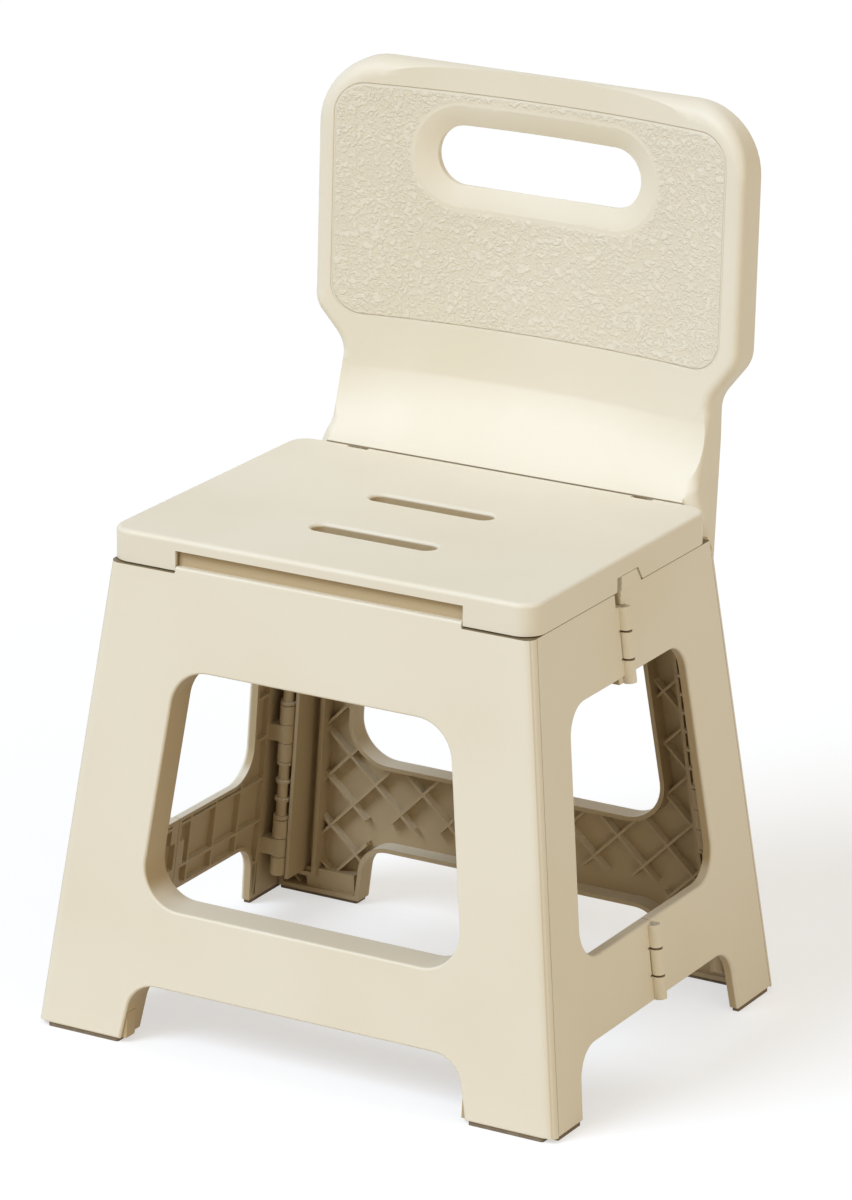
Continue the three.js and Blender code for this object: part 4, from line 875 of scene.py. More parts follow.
def arm(wall, flat_axis, low, high, span, near):
    """A block from the skin of a piece to a hinge line, whose place and depth flat_axis(z) gives."""
    ends = rectangle(*span, low, high)
    skin = [wall(flat_axis(z)[0] + offset, z, near) for offset, z in ends]
    line = [wall(flat_axis(z)[0] + offset, z, flat_axis(z)[1]) for offset, z in ends]
    return loft([skin, line])


def front_axis(z):
    line = on_axis(front_corner, z)
    return line.x, line.y - front_y(z)


def rear_axis(z):
    line = on_axis(rear_corner, z)
    return line.x, rear_y(z) - line.y


def side_axis(foot):
    def at(z):
        line = on_axis(foot, z)
        return line.y, side_x(z) - line.x
    return at


print("hinge lines meet", APEX_HEIGHT - SEAT_HEIGHT, "mm above the seat")

# %% [markdown]
# From a drawing to a piece of the chair
#
# A finished piece is moved to its place in the imported frame, gets its material, and is told which body
# carries it; the imported node it stands for is hidden. Flat faces and small rounds meet in one surface, so
# the shading is smooth, with creases only at real edges, and the large faces decide the direction of the
# normals.

# %% Set a piece in the frame
CREASE = math.radians(32)
MERGE_REACH = 0.01


def tidy(mesh):
    """Merge stray points, so that thin slivers don't show in the shading."""
    shape = bmesh.new()
    shape.from_mesh(mesh)
    bmesh.ops.remove_doubles(shape, verts=shape.verts, dist=MERGE_REACH)
    bmesh.ops.dissolve_degenerate(shape, edges=shape.edges, dist=MERGE_REACH)
    shape.to_mesh(mesh)
    shape.free()


def set_in_frame(body, name, node, carrier, material):
    mesh = body.data
    tidy(mesh)
    to_frame = Matrix.Translation((0, SEAT_MIDDLE_Y, 0)) @ Matrix.Scale(MM, 4)
    mesh.transform(to_frame)
    mesh.materials.clear()
    mesh.materials.append(material)
    mesh.polygons.foreach_set("use_smooth", [True] * len(mesh.polygons))
    mesh.set_sharp_from_angle(angle=CREASE)
    shading = body.modifiers.new("even_normals", "WEIGHTED_NORMAL")
    shading.keep_sharp = True
    body.name = name
    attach(body, carrier)
    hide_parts(node)
    print(name, "has", len(mesh.polygons), "faces")


print("edges sharper than", round(math.degrees(CREASE)), "degrees stay crisp")

# %% [markdown]
# Leg panels
#
# The front and the rear legs are the same kind of moulding: a plate with a rounded outer edge, a deep
# tray behind it, a window, an arch between two feet, and a strong column at each corner for the hinge.
# The front ribs are wide apart and the rear ones close, both set at 45 degrees. The columns come first.
# Their knuckles are rods with a slim arm, in three groups, and ringed sleeves cover the pin between groups.

# %% Build the hinge columns
KNUCKLE_RADIUS = 5
ARM_HALF_WIDTH = 3.5
ARM_TRIM = 0.7
CORNER_PIN_RADIUS = 1.5
GROUP_HEIGHT = 40
GROUP_STARTS = (20, 102, 242)
OPEN_PIVOT_PLAY = 1.1
SLEEVE = {"web": 1.3, "radius": 3.5, "ring": 1.8, "pitch": 13}
COLUMN_MARGIN = 3
COLUMN_BOTTOM = GROUP_STARTS[0] - COLUMN_MARGIN
COLUMN_TOP = GROUP_STARTS[-1] + GROUP_HEIGHT + COLUMN_MARGIN


def knuckle_spans(start, whose):
    third = GROUP_HEIGHT / 3
    parts = ((0, 1), (2, 3)) if whose == "panel" else ((1, 2),)
    return [(start + a * third + SEAM / 2, start + b * third - SEAM / 2) for a, b in parts]


def corner_knuckles(wall, flat_axis, foot, whose, near):
    half = ARM_HALF_WIDTH if whose == "panel" else KNUCKLE_RADIUS
    made = []
    for start in GROUP_STARTS:
        for low, high in knuckle_spans(start, whose):
            made.append(arm(wall, flat_axis, low + ARM_TRIM, high - ARM_TRIM, (-half, half), near))
            made.append(upright_rod(foot, low, high, KNUCKLE_RADIUS))
    return made


def sleeves(wall, flat_axis, foot, near):
    """Ringed sleeves round the pin between the groups of knuckles, each on a thin web."""
    made = []
    for start, following in zip(GROUP_STARTS, GROUP_STARTS[1:]):
        low, high = start + GROUP_HEIGHT + SEAM, following - SEAM
        made.append(arm(wall, flat_axis, low, high, (-SLEEVE["web"], SLEEVE["web"]), near))
        made.append(upright_rod(foot, low, high, SLEEVE["radius"]))
        count = round((high - low) / SLEEVE["pitch"])
        for i in range(count + 1):
            z = between(low, high - SLEEVE["ring"], i / count)
            made.append(upright_rod(foot, z, z + SLEEVE["ring"], KNUCKLE_RADIUS))
    return made


def corner_bore(foot, radius=CORNER_PIN_RADIUS + GAP):
    return upright_rod(foot, COLUMN_BOTTOM - OVERRUN, COLUMN_TOP + OVERRUN, radius)


print("columns from", COLUMN_BOTTOM, "to", COLUMN_TOP, "mm above the floor")

# %% [markdown]
# The panel between the columns
#
# Three outlines make a leg panel: the plate with its two feet, the tray inside its rim, and the window.
# The tray is hollowed behind the skin, except for a wall round the window. The ribs are a lattice that a
# region cuts to shape, which is quicker to draw than each rib by itself.

# %% Mould a leg panel
COLUMN_BAND = 14
COLUMN_WALL = 2.5
SOLE_INSET = 7.5
FOOT_FLARE = 7
ARCH_ROUND = 20
WINDOW_ROUND = 25
RIB_DEPTH = 9
PLAIN_BAND = 18
DIAMOND_CENTRE = (-12, 104)
FOOT_BOX = {"inner": 118, "outer": 154, "top": 19, "depth": 12}
FRONT = {"rim": 23.5, "post": 58, "foot": 60.5, "arch": 40, "low": 90, "high": 240.5, "drop": 11, "pitch": 50}
REAR = {"rim": 15, "post": 55, "foot": 68, "arch": 42, "low": 104, "high": 240, "drop": 3.5, "pitch": 25}


def footed_edge(outer, size, edge, side_edge):
    inner = side_x(PANEL_LIFT) - size["foot"]
    return [
        (-outer, PANEL_LIFT, 0, edge),
        (-inner, PANEL_LIFT, 0, edge),
        (-(inner - FOOT_FLARE), size["arch"], ARCH_ROUND, edge),
        (inner - FOOT_FLARE, size["arch"], ARCH_ROUND, edge),
        (inner, PANEL_LIFT, 0, edge),
        (outer, PANEL_LIFT, 0, side_edge),
    ]


def tray_outline(foot, size):
    top = PANEL_TOP - size["drop"]
    low_column = on_axis(foot, COLUMN_BOTTOM).x - COLUMN_BAND
    high_column = on_axis(foot, top).x - COLUMN_BAND
    sole = side_x(COLUMN_BOTTOM) - SOLE_INSET
    return footed_edge(side_x(PANEL_LIFT) - SOLE_INSET, size, 0, 0) + [
        (sole, COLUMN_BOTTOM - SEAM),
        (low_column, COLUMN_BOTTOM - SEAM),
        (high_column, top),
        (-high_column, top),
        (-low_column, COLUMN_BOTTOM - SEAM),
        (-sole, COLUMN_BOTTOM - SEAM),
    ]


def window_outline(size):
    low = side_x(size["low"]) - size["post"]
    high = side_x(size["high"]) - size["post"]
    corners = [(-low, size["low"]), (low, size["low"]), (high, size["high"]), (-high, size["high"])]
    return filleted(corners, WINDOW_ROUND)


def leg_panel(wall, flat_axis, foot, size, plate):
    tray = tray_outline(foot, size)
    window = window_outline(size)
    rim = size["rim"]

    def window_band(distance, extra):
        return slab(wall, window, SKIN - extra, rim + OVERRUN + extra, -distance)

    hollow = cut(slab(wall, tray, SKIN, rim + OVERRUN, SKIN), [window_band(SKIN, BITE)])
    arch_half = side_x(size["arch"]) - size["foot"]
    plain = slab(wall, rectangle(-arch_half, arch_half, 0, size["arch"] + PLAIN_BAND), 0, rim)
    region = slab(wall, tray, SKIN - BITE, RIB_DEPTH, SKIN - BITE)
    region = cut(region, [window_band(SKIN - BITE, 2 * BITE), plain])
    ribs = lattice(wall, DIAMOND_CENTRE, SEAT_WIDTH, size["pitch"], math.pi / 4, SKIN - BITE, RIB_DEPTH)
    shell = join([rounded_slab(wall, plate, CORNER_ROUND), slab(wall, tray, SKIN, rim)])
    box = rectangle(FOOT_BOX["inner"], FOOT_BOX["outer"], PANEL_LIFT + BITE, FOOT_BOX["top"])
    hinge_side = -KNUCKLE_RADIUS - SEAM
    corner = [
        slab(wall, box, SKIN - BITE, FOOT_BOX["depth"]),
        arm(wall, flat_axis, COLUMN_BOTTOM, COLUMN_TOP, (hinge_side - COLUMN_WALL, hinge_side), SKIN),
    ] + corner_knuckles(wall, flat_axis, foot, "panel", SKIN) + sleeves(wall, flat_axis, foot, SKIN)
    return join([cut(shell, [hollow]), overlap(ribs, region)] + both_sides(corner))


print("ribs are", FRONT["pitch"], "mm apart in front and", REAR["pitch"], "mm behind")

# %% [markdown]
# The front panel
#
# Seen from the front this is the largest face: two wide posts, a rounded window and an arch. A low lip
# and a set-back wall close the recess under the front edge of the seat. Behind them two ears hold the
# pins of the link plate in short upright slots, which let the linkage breathe as the chair folds.

# %% Mould the front panel
FRONT_LIP_RISE = 3.5
FRONT_LIP_THICKNESS = 4.6
RECESS_WALL = 2.4
RECESS_WALL_GAP = 0.9
SEAT_AXIS = (SEAT_REAR - 6, SEAT_HEIGHT - 7)
MID_LINK_AXIS = (12.39, SEAT_HEIGHT - 27.5)
FRONT_LINK_AXIS = (-95, SEAT_HEIGHT - 17)
CROSS_RADIUS = 4.5
CROSS_PIN_RADIUS = 1.8
FRONT_BARREL_HALF = 93.5
FRONT_EAR = {"width": 5.5, "radius": 6.2, "play": 0.7, "rise": 1.8, "shift": (0.18, -0.3)}


def front_plate():
    lip = RECESS_HALF_WIDTH - SEAM
    return footed_edge(side_x(PANEL_LIFT), FRONT, EDGE, CORNER_ROUND) + [
        (side_x(SHOULDER_Z), SHOULDER_Z, 0, 0),
        (lip, SHOULDER_Z, 0, 0),
        (lip, SHOULDER_Z + FRONT_LIP_RISE, 0, EDGE),
        (-lip, SHOULDER_Z + FRONT_LIP_RISE, 0, 0),
        (-lip, SHOULDER_Z, 0, 0),
        (-side_x(SHOULDER_Z), SHOULDER_Z, 0, CORNER_ROUND),
    ]


def front_ear():
    inner = FRONT_BARREL_HALF + GAP
    outer = inner + FRONT_EAR["width"]
    y, z = FRONT_LINK_AXIS
    radius = FRONT_EAR["radius"]
    root = rectangle(*around(y, radius), PANEL_TOP - FRONT["drop"] - SKIN, z)
    play = CROSS_PIN_RADIUS + FRONT_EAR["play"]
    rise = CROSS_PIN_RADIUS + FRONT_EAR["rise"]
    shift_y, shift_z = FRONT_EAR["shift"]
    slot = rectangle(*around(y + shift_y, play), *around(z + shift_z, rise))
    ear = join([slab(across, root, inner, outer), cross_rod(FRONT_LINK_AXIS, inner, outer, radius)])
    return cut(ear, [slab(across, slot, inner - OVERRUN, outer + OVERRUN)])


def mirrored_once(body):
    """The mirror image alone; the first body is thrown away."""
    copy = mirrored(body)
    bpy.data.objects.remove(body)
    return copy


def front_panel():
    body = leg_panel(on_front, front_axis, front_corner, FRONT, front_plate())
    through = FRONT["rim"] + OVERRUN
    recess = rectangle(-RECESS_HALF_WIDTH, RECESS_HALF_WIDTH, PANEL_TOP - FRONT["drop"], SEAT_HEIGHT)
    body = cut(body, [
        slab(on_front, recess, FRONT_LIP_THICKNESS, through),
        opening_cutter(on_front, window_outline(FRONT), EDGE, through),
        corner_bore(front_corner),
        mirrored_once(corner_bore(front_corner, CORNER_PIN_RADIUS + OPEN_PIVOT_PLAY)),
    ])
    lip = RECESS_HALF_WIDTH - SEAM
    wall = rectangle(-lip, lip, PANEL_TOP - FRONT["drop"] - SKIN, SEAT_HEIGHT - SEAT_LIP - RECESS_WALL_GAP)
    near, far = FRONT_LIP_THICKNESS - BITE, FRONT_LIP_THICKNESS + RECESS_WALL
    return join([body, slab(on_front, wall, near, far)] + both_sides([front_ear()]))


set_in_frame(front_panel(), "front_panel_moulding", "front_panel", "front_frame", cream)

# %% [markdown]
# The folding side halves
#
# Each side is two thin panels on a middle hinge, and folds inwards. They share one drawing: a foot, a
# post and half of a window. Inside, a square lattice of ribs stiffens them. The knuckles of the middle
# hinge stand just outside the face, so the halves can close on each other; the rear half also carries a
# small tab that fills the notch in the skirt of the seat.

# %% Mould the side halves
SIDE_THICKNESS = 6.5
SIDE_SKIN = 2.6
SIDE_RIB_PITCH = 30
SIDE_ARCH_TOP = 44
SIDE_WINDOW = (94, 247)
SIDE_WINDOW_ROUND = 20
SIDE_FOOT_FLARE = 5
FRONT_HALF = {"foot": 37.5, "post": 43}
REAR_HALF = {"foot": 50, "post": 55}
BARREL_RADIUS = 4
MID_PIN_RADIUS = 1.4


def seam_front(z):
    return front_y(z) + CORNER_ROUND + SEAM


def seam_rear(z):
    return rear_y(z) - CORNER_ROUND - SEAM


def half_outline(face, sign, seam, mid, size):
    foot = face(PANEL_LIFT) + sign * size["foot"]
    post = size["post"]
    low, high = SIDE_WINDOW
    return [
        (seam(PANEL_LIFT), PANEL_LIFT, 0, EDGE),
        (foot, PANEL_LIFT, 0, EDGE),
        (foot + sign * SIDE_FOOT_FLARE, SIDE_ARCH_TOP, ARCH_ROUND, EDGE),
        (mid, SIDE_ARCH_TOP, 0, 0),
        (mid, low, 0, EDGE),
        (face(low) + sign * post, low, SIDE_WINDOW_ROUND, EDGE),
        (face(high) + sign * post, high, SIDE_WINDOW_ROUND, EDGE),
        (mid, high, 0, 0),
    ]


def mid_spans(whose):
    spans = []
    for start in MID_STARTS:
        a, b, c, d = [start + share * MID_HEIGHT for share in MID_SHARES]
        ends = ((a, b - SEAM / 2), (c + SEAM / 2, d))
        spans += ends if whose == "front" else ((b + SEAM / 2, c - SEAM / 2),)
    return spans


def side_half(outline, whose, foot, edge, sign):
    other = "rear" if whose == "front" else "front"
    margin = sign * (KNUCKLE_RADIUS + COLUMN_MARGIN)
    bottom, top = on_axis(foot, 0).y + margin, on_axis(foot, SEAT_HEIGHT).y + margin
    away = sign * FOOT_WIDTH
    band = [(bottom, 0), (bottom + away, 0), (top + away, SEAT_HEIGHT), (top, SEAT_HEIGHT)]
    through = SIDE_THICKNESS + OVERRUN
    beyond = through + OVERRUN
    region = slab(on_right, outline, SIDE_SKIN, through, SIDE_SKIN)
    region = overlap(region, slab(on_right, band, 0, beyond))
    centre = (MID_HINGE_Y + sign * SIDE_RIB_PITCH / 2, SIDE_ARCH_TOP + SIDE_RIB_PITCH / 2)
    grid = lattice(on_right, centre, FOOT_WIDTH, SIDE_RIB_PITCH, 0, SIDE_SKIN - BITE, beyond)
    plate = cut(rounded_slab(on_right, outline, SIDE_THICKNESS), [cut(region, [grid])])
    solids = [plate] + corner_knuckles(on_right, side_axis(foot), foot, "side", SIDE_THICKNESS - BITE)
    for low, high in mid_spans(whose):
        sides = sorted((edge, edge - sign * 2 * BARREL_RADIUS))
        solids.append(slab(on_right, rectangle(*sides, low, high), SKIN / 2, SIDE_THICKNESS))
    clear = BARREL_RADIUS + SEAM
    room = [upright_rod(mid_side, low - SEAM, high + SEAM, clear) for low, high in mid_spans(other)]
    barrels = [upright_rod(mid_side, low, high, BARREL_RADIUS) for low, high in mid_spans(whose)]
    body = join([cut(join(solids), room)] + barrels)
    bores = [
        upright_rod(mid_side, start - OVERRUN, start + MID_HEIGHT + OVERRUN, MID_PIN_RADIUS + GAP)
        for start in MID_STARTS
    ]
    return cut(body, bores + [corner_bore(foot)])


def front_half():
    mid = MID_HINGE_Y - SEAM / 2
    notch = mid - BARREL_NOTCH_WIDTH
    barrel_top = MID_STARTS[1] + MID_HEIGHT
    outline = half_outline(front_y, 1, seam_front, mid, FRONT_HALF) + [
        (mid, barrel_top),
        (notch, barrel_top),
        (notch, SHOULDER_Z),
        (seam_front(SHOULDER_Z), SHOULDER_Z),
    ]
    return side_half(outline, "front", front_corner, mid, 1)


def skirt_tab():
    start = MID_HINGE_Y + SEAM / 2
    end = MID_HINGE_Y + TAB["length"]
    corners = [
        (start, SHOULDER_Z - SKIN),
        (end + TAB["slant"], SHOULDER_Z - SKIN),
        (end + TAB["slant"], SHOULDER_Z),
        (end, SHOULDER_Z + TAB["height"]),
        (start, SHOULDER_Z + TAB["height"]),
    ]
    inner = side_x(SHOULDER_Z) - SIDE_THICKNESS
    tab = slab(across, corners, inner, SEAT_WIDTH / 2 - TAB["inset"])
    proud = slab(on_right, rectangle(-2 * SEAT_REAR, 2 * SEAT_REAR, 0, SHOULDER_Z), -OVERRUN, 0)
    return cut(tab, [proud])


def rear_half():
    mid = MID_HINGE_Y + SEAM / 2
    outline = half_outline(rear_y, -1, seam_rear, mid, REAR_HALF) + [
        (mid, SHOULDER_Z),
        (seam_rear(SHOULDER_Z), SHOULDER_Z),
    ]
    return join([side_half(outline, "rear", rear_corner, mid, -1), skirt_tab()])


for half, place in ((front_half(), "front"), (rear_half(), "rear")):
    for body, side in ((half, "right"), (mirrored(half), "left")):
        piece = f"{side}_{place}"
        set_in_frame(body, f"{piece}_moulding", f"{piece}_side", f"{piece}_half", cream)

# %% [markdown]
# The seat
#
# The seat is one shallow tray turned upside down: a plate with a rounded rim, a skirt all round, and ribs
# below. Two finger slots have a soft rim, made by a cutter that opens like a trumpet. The skirt is notched
# for the side tabs, and its rear edge for the two hinge ears.

# %% Mould the seat
SEAT_WALL = 3
SEAT_CORNER_ROUND = 14
SEAT_EDGE = 3
SEAT_RIB_DEPTH = 10.5
SEAT_RIB_PITCH = 48
SKIRT_REAR_CUT = 3.5
TAB_GAP = 0.8
REAR_EAR = {"x": 101, "width": 14, "boss": 7, "neck": 1}
MID_EAR = {"x": 76, "barrel": 11, "width": 6}
ALMOST = 0.001


def seat_plate(edge):
    corners = rectangle(*around(0, SEAT_WIDTH / 2), *around(0, SEAT_REAR))
    return filleted(corners, SEAT_CORNER_ROUND, edge)


def slot_corners(y):
    corners = rectangle(*around(0, SLOT["half"]), *around(y, SLOT["width"]))
    return filleted(corners, SLOT["width"] - ALMOST)


def seat_notches():
    bottom = PANEL_TOP - OVERRUN
    lip_bottom = SEAT_HEIGHT - SEAT_LIP
    wide = SEAT_WIDTH / 2 + OVERRUN
    front_end = MID_HINGE_Y - BARREL_NOTCH_WIDTH + SEAM
    rear_end = MID_HINGE_Y + TAB["length"] + TAB_GAP
    slant = rear_end + TAB["slant"]
    top = SHOULDER_Z + TAB["height"] + TAB_GAP
    skirt = [(front_end, bottom), (slant, bottom), (slant, PANEL_TOP), (rear_end, top), (front_end, top)]
    inside, behind = SEAT_REAR - SEAT_WALL - OVERRUN, SEAT_REAR + OVERRUN
    front = rectangle(-behind, -inside, bottom, lip_bottom)
    rear = rectangle(inside, behind, bottom, lip_bottom)
    edge, rise = SEAT_REAR - SKIRT_REAR_CUT, PANEL_TOP + SKIRT_REAR_CUT + OVERRUN
    rear_skirt = [(edge, bottom), (behind, bottom), (behind, rise), (edge + OVERRUN, rise), (edge, PANEL_TOP)]
    rear_half_width = SEAT_WIDTH / 2 - SEAT_WALL
    return [
        slab(across, skirt, -wide, wide),
        slab(across, front, -RECESS_HALF_WIDTH, RECESS_HALF_WIDTH),
        slab(across, rear, -rear_half_width, rear_half_width),
        slab(across, rear_skirt, -wide, wide),
    ]


def ear_pair(axis, centre, middle, width):
    """Two round ears on either side of a middle barrel, hung from the seat plate."""
    y, z = axis
    root = rectangle(*around(y, CROSS_RADIUS), z, SEAT_HEIGHT - SKIN + BITE)
    made = []
    for sign in (-1, 1):
        near = centre + sign * (middle / 2 + GAP)
        left, right = sorted((near, near + sign * width))
        made += [cross_rod(axis, left, right, CROSS_RADIUS), slab(across, root, left, right)]
    return made


def seat_ribs():
    middle = (0, sum(SLOT["places"]) / 2)
    inner = slab(on_seat, seat_plate(0), SKIN - BITE, SEAT_RIB_DEPTH, SEAT_WALL - BITE)
    grid = lattice(on_seat, middle, SEAT_WIDTH, SEAT_RIB_PITCH, 0, SKIN - BITE, SEAT_RIB_DEPTH)
    rims = [slab(on_seat, slot_corners(y), SKIN - BITE, SEAT_LIP, -SLOT["wall"]) for y in SLOT["places"]]
    clear = slab(on_seat, seat_plate(0), SEAT_LIP, SEAT_RIB_DEPTH + OVERRUN, -OVERRUN)
    return [cut(overlap(grid, inner), [clear])] + rims


def seat():
    through = SKIRT_DROP + OVERRUN
    hollow = slab(on_seat, seat_plate(0), SKIN, through, SEAT_WALL)
    shell = cut(cut(rounded_slab(on_seat, seat_plate(SEAT_EDGE), SKIRT_DROP), [hollow]), seat_notches())
    bosses = ear_pair(SEAT_AXIS, REAR_EAR["x"], REAR_EAR["width"], REAR_EAR["boss"])
    bosses += ear_pair(MID_LINK_AXIS, MID_EAR["x"], MID_EAR["barrel"], MID_EAR["width"])
    body = join([shell] + seat_ribs() + both_sides(bosses))
    ear_half = REAR_EAR["width"] / 2 + GAP
    ear_span = around(REAR_EAR["x"], ear_half)
    rear_span = around(REAR_EAR["x"], ear_half + REAR_EAR["boss"] + SEAM)
    mid_span = around(MID_EAR["x"], MID_EAR["barrel"] + OVERRUN)
    notch = rectangle(*ear_span, SEAT_AXIS[0] + REAR_EAR["neck"] - GAP, SEAT_REAR + OVERRUN)
    room = [
        slab(on_seat, notch, -OVERRUN, through),
        cross_rod(SEAT_AXIS, *ear_span, CROSS_RADIUS + SEAM),
        cross_rod(SEAT_AXIS, *rear_span, CROSS_PIN_RADIUS + GAP),
        cross_rod(MID_LINK_AXIS, *mid_span, CROSS_PIN_RADIUS + GAP),
    ]
    slots = [opening_cutter(on_seat, slot_corners(y), SLOT["dish"], through) for y in SLOT["places"]]
    return cut(body, slots + both_sides(room))


set_in_frame(seat(), "seat_moulding", "seat", "seat_body", cream)

# %% [markdown]
# The backrest and the rear legs
#
# These are one moulding, so the backrest can't come loose. Its face sweeps up from the seat in a cove,
# leans back a little and is hollow across its width. The face is a formula: a height and a width give a
# depth, which a grid of points can follow.

# %% Shape the face of the backrest
BACK_HEIGHT = 562
BACK_HALF_WIDTH = 151
ROOT_Z = 286
WAIST_BOTTOM = 328
COVE = {"height": 45, "depth": 19.5, "power": 0.8}
COVE_ROWS = 16
BACK_ROWS = 12
BACK_COLUMNS = 40
WALL_GAP = 0.8
LEAN = 0.03
SWEEP_RADIUS = 600
SWEEP_EDGE = 144
BACK_THICKNESS = 22
WAIST_WALL = SEAT_REAR + WALL_GAP
SWEEP_DEPTH = SWEEP_EDGE ** 2 / (2 * SWEEP_RADIUS)


def cove_share(z):
    return min(max((z - SEAT_HEIGHT) / COVE["height"], 0), 1)


def edge_line_y(z):
    curl = math.sin(cove_share(z) * math.pi / 2) ** COVE["power"]
    return WAIST_WALL + COVE["depth"] * curl + LEAN * max(0, z - SEAT_HEIGHT - COVE["height"])


def back_face(x, z):
    return edge_line_y(z) + cove_share(z) * SWEEP_DEPTH * (1 - (x / SWEEP_EDGE) ** 2)


def back_plane(z):
    full = edge_line_y(SEAT_HEIGHT + COVE["height"]) + BACK_THICKNESS
    flange = between(rear_y(ROOT_Z), full, (z - ROOT_Z) / (WAIST_BOTTOM - ROOT_Z))
    return min(flange, edge_line_y(max(z, SEAT_HEIGHT + COVE["height"])) + BACK_THICKNESS)


def on_face(u, v, depth):
    return Vector((u, back_face(u, v) + depth, v))


def on_back(u, v, depth):
    return Vector((u, depth, v))


def curved_slab(near, far_at):
    start = SEAT_HEIGHT + COVE["height"]
    rows = [ROOT_Z]
    rows += [between(SEAT_HEIGHT, start, step / COVE_ROWS) for step in range(COVE_ROWS + 1)]
    rows += [between(start, BACK_HEIGHT + OVERRUN, step / BACK_ROWS) for step in range(1, BACK_ROWS + 1)]
    half = BACK_HALF_WIDTH + OVERRUN
    xs = [between(-half, half, i / BACK_COLUMNS) for i in range(BACK_COLUMNS + 1)]
    rings = []
    for z in rows:
        face = [on_face(x, z, near) for x in xs]
        rings.append(face + [on_back(x, z, far_at(z)) for x in reversed(xs)])
    return loft(rings)


print("the face is", round(SWEEP_DEPTH, 1), "mm hollow and leans back", LEAN, "mm for each mm of height")

# %% [markdown]
# The edge and the hand hole
#
# Seen from the front the backrest is an outline with a waist, which stamps the curved slab like dough. Near
# the face the stamp turns in, most of all along the top, and that leaves a rounded edge. The cutter of the
# hand hole widens towards the face like a funnel and follows its hollow. Behind, the shell is open, with a
# square lattice of deep ribs.

# %% Cut the backrest to shape
WAIST_HALF_WIDTH = 130.8
WAIST_TOP = 378
SHOULDER_BOTTOM = 404
BACK_CORNER_ROUND = 44
SHOULDER_ROUND = 22
FLANGE_ROUND_TOP = 352
BACK_SKIN = 3.2
BACK_EDGE_SIDE = 7
BACK_EDGE_TOP = 12
BACK_RIB_PITCH = 50
POCKET_FLOOR = SEAT_HEIGHT + COVE["height"] / 3
GRIP = {"z": 505, "half": 71.5, "height": 19, "funnel": 16, "depth": 4.6, "power": 1.4}
GRIP_STEPS = 14


def back_corners():
    side, top = BACK_EDGE_SIDE, BACK_EDGE_TOP
    right = [
        (side_x(ROOT_Z), ROOT_Z, 0, side),
        (WAIST_HALF_WIDTH, WAIST_BOTTOM, SHOULDER_ROUND, side),
        (WAIST_HALF_WIDTH, WAIST_TOP, SHOULDER_ROUND, side),
        (BACK_HALF_WIDTH, SHOULDER_BOTTOM, SHOULDER_ROUND, side),
        (BACK_HALF_WIDTH, BACK_HEIGHT, BACK_CORNER_ROUND, top),
    ]
    edges_down = [top, side, side, side, side]
    left = [(-x, z, fillet, edge) for (x, z, fillet, _), edge in zip(right[::-1], edges_down)]
    return right + left


def back_walls(distance):
    outline = outline_of(back_corners())
    edges = [max(before, after) for _, before, after in outline]
    rings = [ring_at(on_back, inset(outline, 1, distance), -SEAT_REAR)]
    for turn in QUARTER:
        places = inset(outline, 1 - math.sin(turn), distance)
        depth = 1 - math.cos(turn)
        rings.append([on_face(place.x, place.y, edge * depth) for place, edge in zip(places, edges)])
    rings.append(ring_at(on_back, inset(outline, 0, distance), FOOT_WIDTH))
    return loft(rings)


def grip_outline():
    """A slot with stops on its straight runs, so that its rim can follow the hollow face."""
    low, high = around(GRIP["z"], GRIP["height"])
    half, fillet = GRIP["half"], GRIP["height"] - ALMOST
    straight = half - GRIP["height"]
    stops = [between(-straight, straight, i / GRIP_STEPS) for i in range(1, GRIP_STEPS)]
    bottom = [(-half, low, fillet)] + [(x, low) for x in stops] + [(half, low, fillet)]
    top = [(half, high, fillet)] + [(x, high) for x in reversed(stops)] + [(-half, high, fillet)]
    return outline_of(bottom + top)


def grip_cutter(distance):
    outline = grip_outline()
    rings = [ring_at(on_back, inset(outline, 0, distance - GRIP["funnel"]), -SEAT_REAR)]
    for step in range(EDGE_STEPS + 1):
        share = step / EDGE_STEPS
        places = inset(outline, 0, distance - GRIP["funnel"] * (1 - share))
        depth = (GRIP["depth"] + BITE) * share ** GRIP["power"] - BITE
        rings.append(ring_at(on_face, places, depth))
    rings.append(ring_at(on_back, inset(outline, 0, distance), FOOT_WIDTH))
    return loft(rings)


def flange_round():
    """Rounds the rear corner of the flange, so that it runs into the leg's corner and fades above."""
    slope = (WAIST_HALF_WIDTH - side_x(ROOT_Z)) / (WAIST_BOTTOM - ROOT_Z)
    rings = []
    for z in (ROOT_Z - OVERRUN, WAIST_BOTTOM, FLANGE_ROUND_TOP):
        x = max(WAIST_HALF_WIDTH, WAIST_HALF_WIDTH + slope * (z - WAIST_BOTTOM))
        y = back_plane(z)
        radius = max(ALMOST, CORNER_ROUND * (FLANGE_ROUND_TOP - z) / (FLANGE_ROUND_TOP - ROOT_Z))
        a, b = x - radius, y - radius
        arc = [(a + radius * math.cos(turn), b + radius * math.sin(turn)) for turn in QUARTER]
        ends = [(a, y + OVERRUN), (x + OVERRUN, y + OVERRUN), (x + OVERRUN, b)]
        rings.append([Vector((u, v, z)) for u, v in arc + ends])
    return loft(rings)


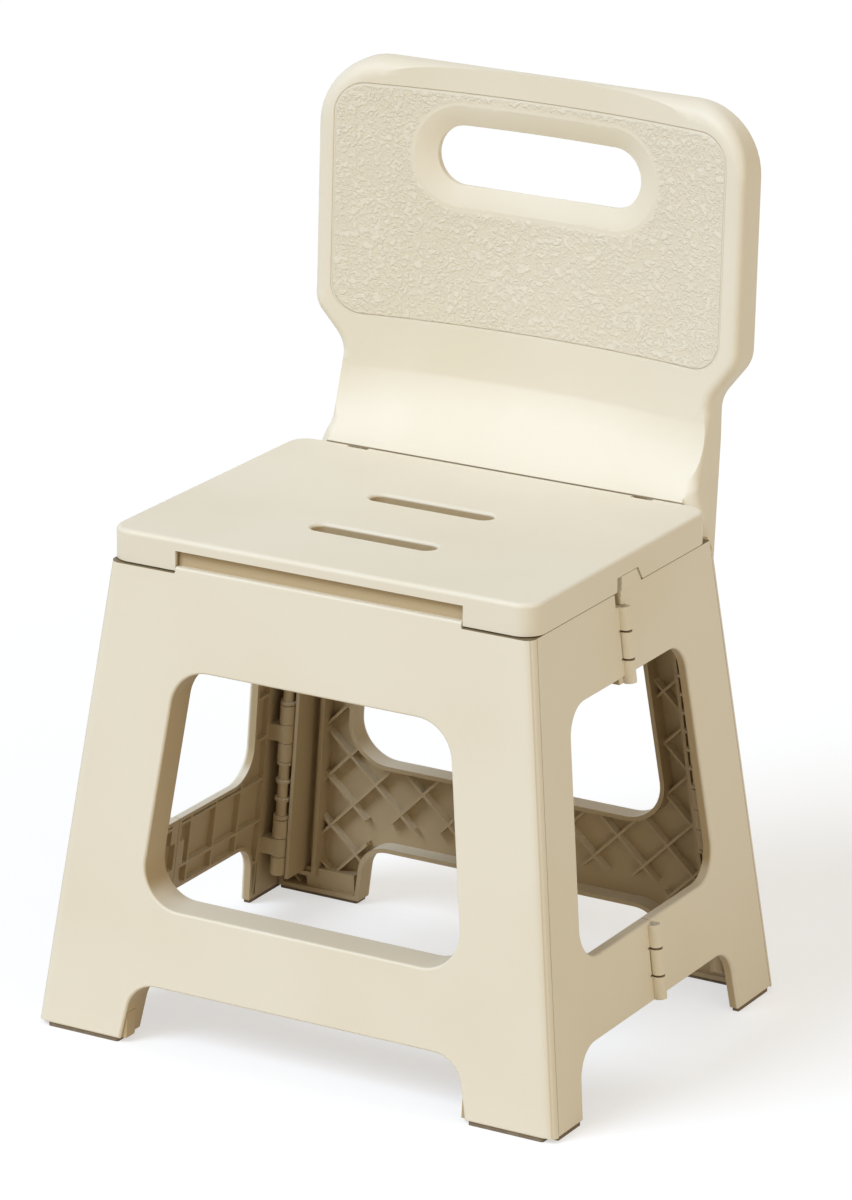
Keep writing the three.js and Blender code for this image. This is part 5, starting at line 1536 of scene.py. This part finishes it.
def backrest():
    outer = overlap(curved_slab(0, back_plane), back_walls(0))
    pockets = overlap(curved_slab(BACK_SKIN, lambda z: FOOT_WIDTH / 2 + OVERRUN), back_walls(BACK_SKIN))
    below = rectangle(0, FOOT_WIDTH, 0, POCKET_FLOOR)
    ribs = lattice(on_back, (0, WAIST_TOP), BACK_HEIGHT / 2, BACK_RIB_PITCH, 0, WAIST_WALL, FOOT_WIDTH / 2)
    pockets = cut(pockets, [slab(across, below, -FOOT_WIDTH, FOOT_WIDTH), grip_cutter(-BACK_SKIN), ribs])
    behind_side = rectangle(0, rear_y(ROOT_Z) - CORNER_ROUND, ROOT_Z - OVERRUN, PANEL_TOP)
    side_room = slab(across, behind_side, side_x(PANEL_TOP) - SIDE_THICKNESS - SEAM, FOOT_WIDTH)
    return cut(outer, [pockets, grip_cutter(0)] + both_sides([side_room, flange_round()]))


print("the hand hole is", 2 * GRIP["half"], "by", 2 * GRIP["height"], "mm")

# %% [markdown]
# One moulding from the feet to the hand hole
#
# The leg plate and the backrest are drawn apart, because each has a face of its own, and are then joined.
# A round channel below the rear edge of the seat leaves room for the seat to turn, and two ears that reach
# across it carry the pins.

# %% Join the backrest to the rear legs


def rear_ear():
    span = around(REAR_EAR["x"], REAR_EAR["width"] / 2)
    y, z = SEAT_AXIS
    neck = rectangle(y, WAIST_WALL + SKIN, z - CROSS_RADIUS, z - REAR_EAR["neck"])
    return [cross_rod(SEAT_AXIS, *span, CROSS_RADIUS), slab(across, neck, *span)]


def rear_moulding():
    leg_top = ROOT_Z + SKIN
    plate = footed_edge(side_x(PANEL_LIFT), REAR, EDGE, CORNER_ROUND)
    plate += [(side_x(leg_top), leg_top, 0, 0), (-side_x(leg_top), leg_top, 0, CORNER_ROUND)]
    legs = leg_panel(on_rear, rear_axis, rear_corner, REAR, plate)
    window = opening_cutter(on_rear, window_outline(REAR), EDGE, REAR["rim"] + OVERRUN)
    legs = cut(legs, [window] + both_sides([corner_bore(rear_corner)]))
    sweep = math.hypot(SEAT_REAR - SEAT_AXIS[0], SEAT_HEIGHT - SEAT_AXIS[1]) + GAP
    channel = cross_rod(SEAT_AXIS, *around(0, SEAT_WIDTH / 2 + SEAM), sweep)
    body = join([cut(join([legs, backrest()]), [channel])] + both_sides(rear_ear()))
    bore = cross_rod(SEAT_AXIS, *around(REAR_EAR["x"], REAR_EAR["width"]), CROSS_PIN_RADIUS + GAP)
    return cut(body, both_sides([bore]))


grained_cream = plastic("cream_plastic_grained", backrest_grain, backrest_groove)
set_in_frame(rear_moulding(), "rear_moulding", "rear_panel_with_backrest", "rear_frame", grained_cream)

# %% [markdown]
# The size of the chair
#
# The finer pieces should not make the chair larger than the imported model, so its size is printed.

# %% Write the sizes
visual_box = [list(corner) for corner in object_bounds()]
for axis, low, high in zip("xyz", *visual_box):
    print(axis, "from", round(low / MM, 1), "to", round(high / MM, 1), "mm")
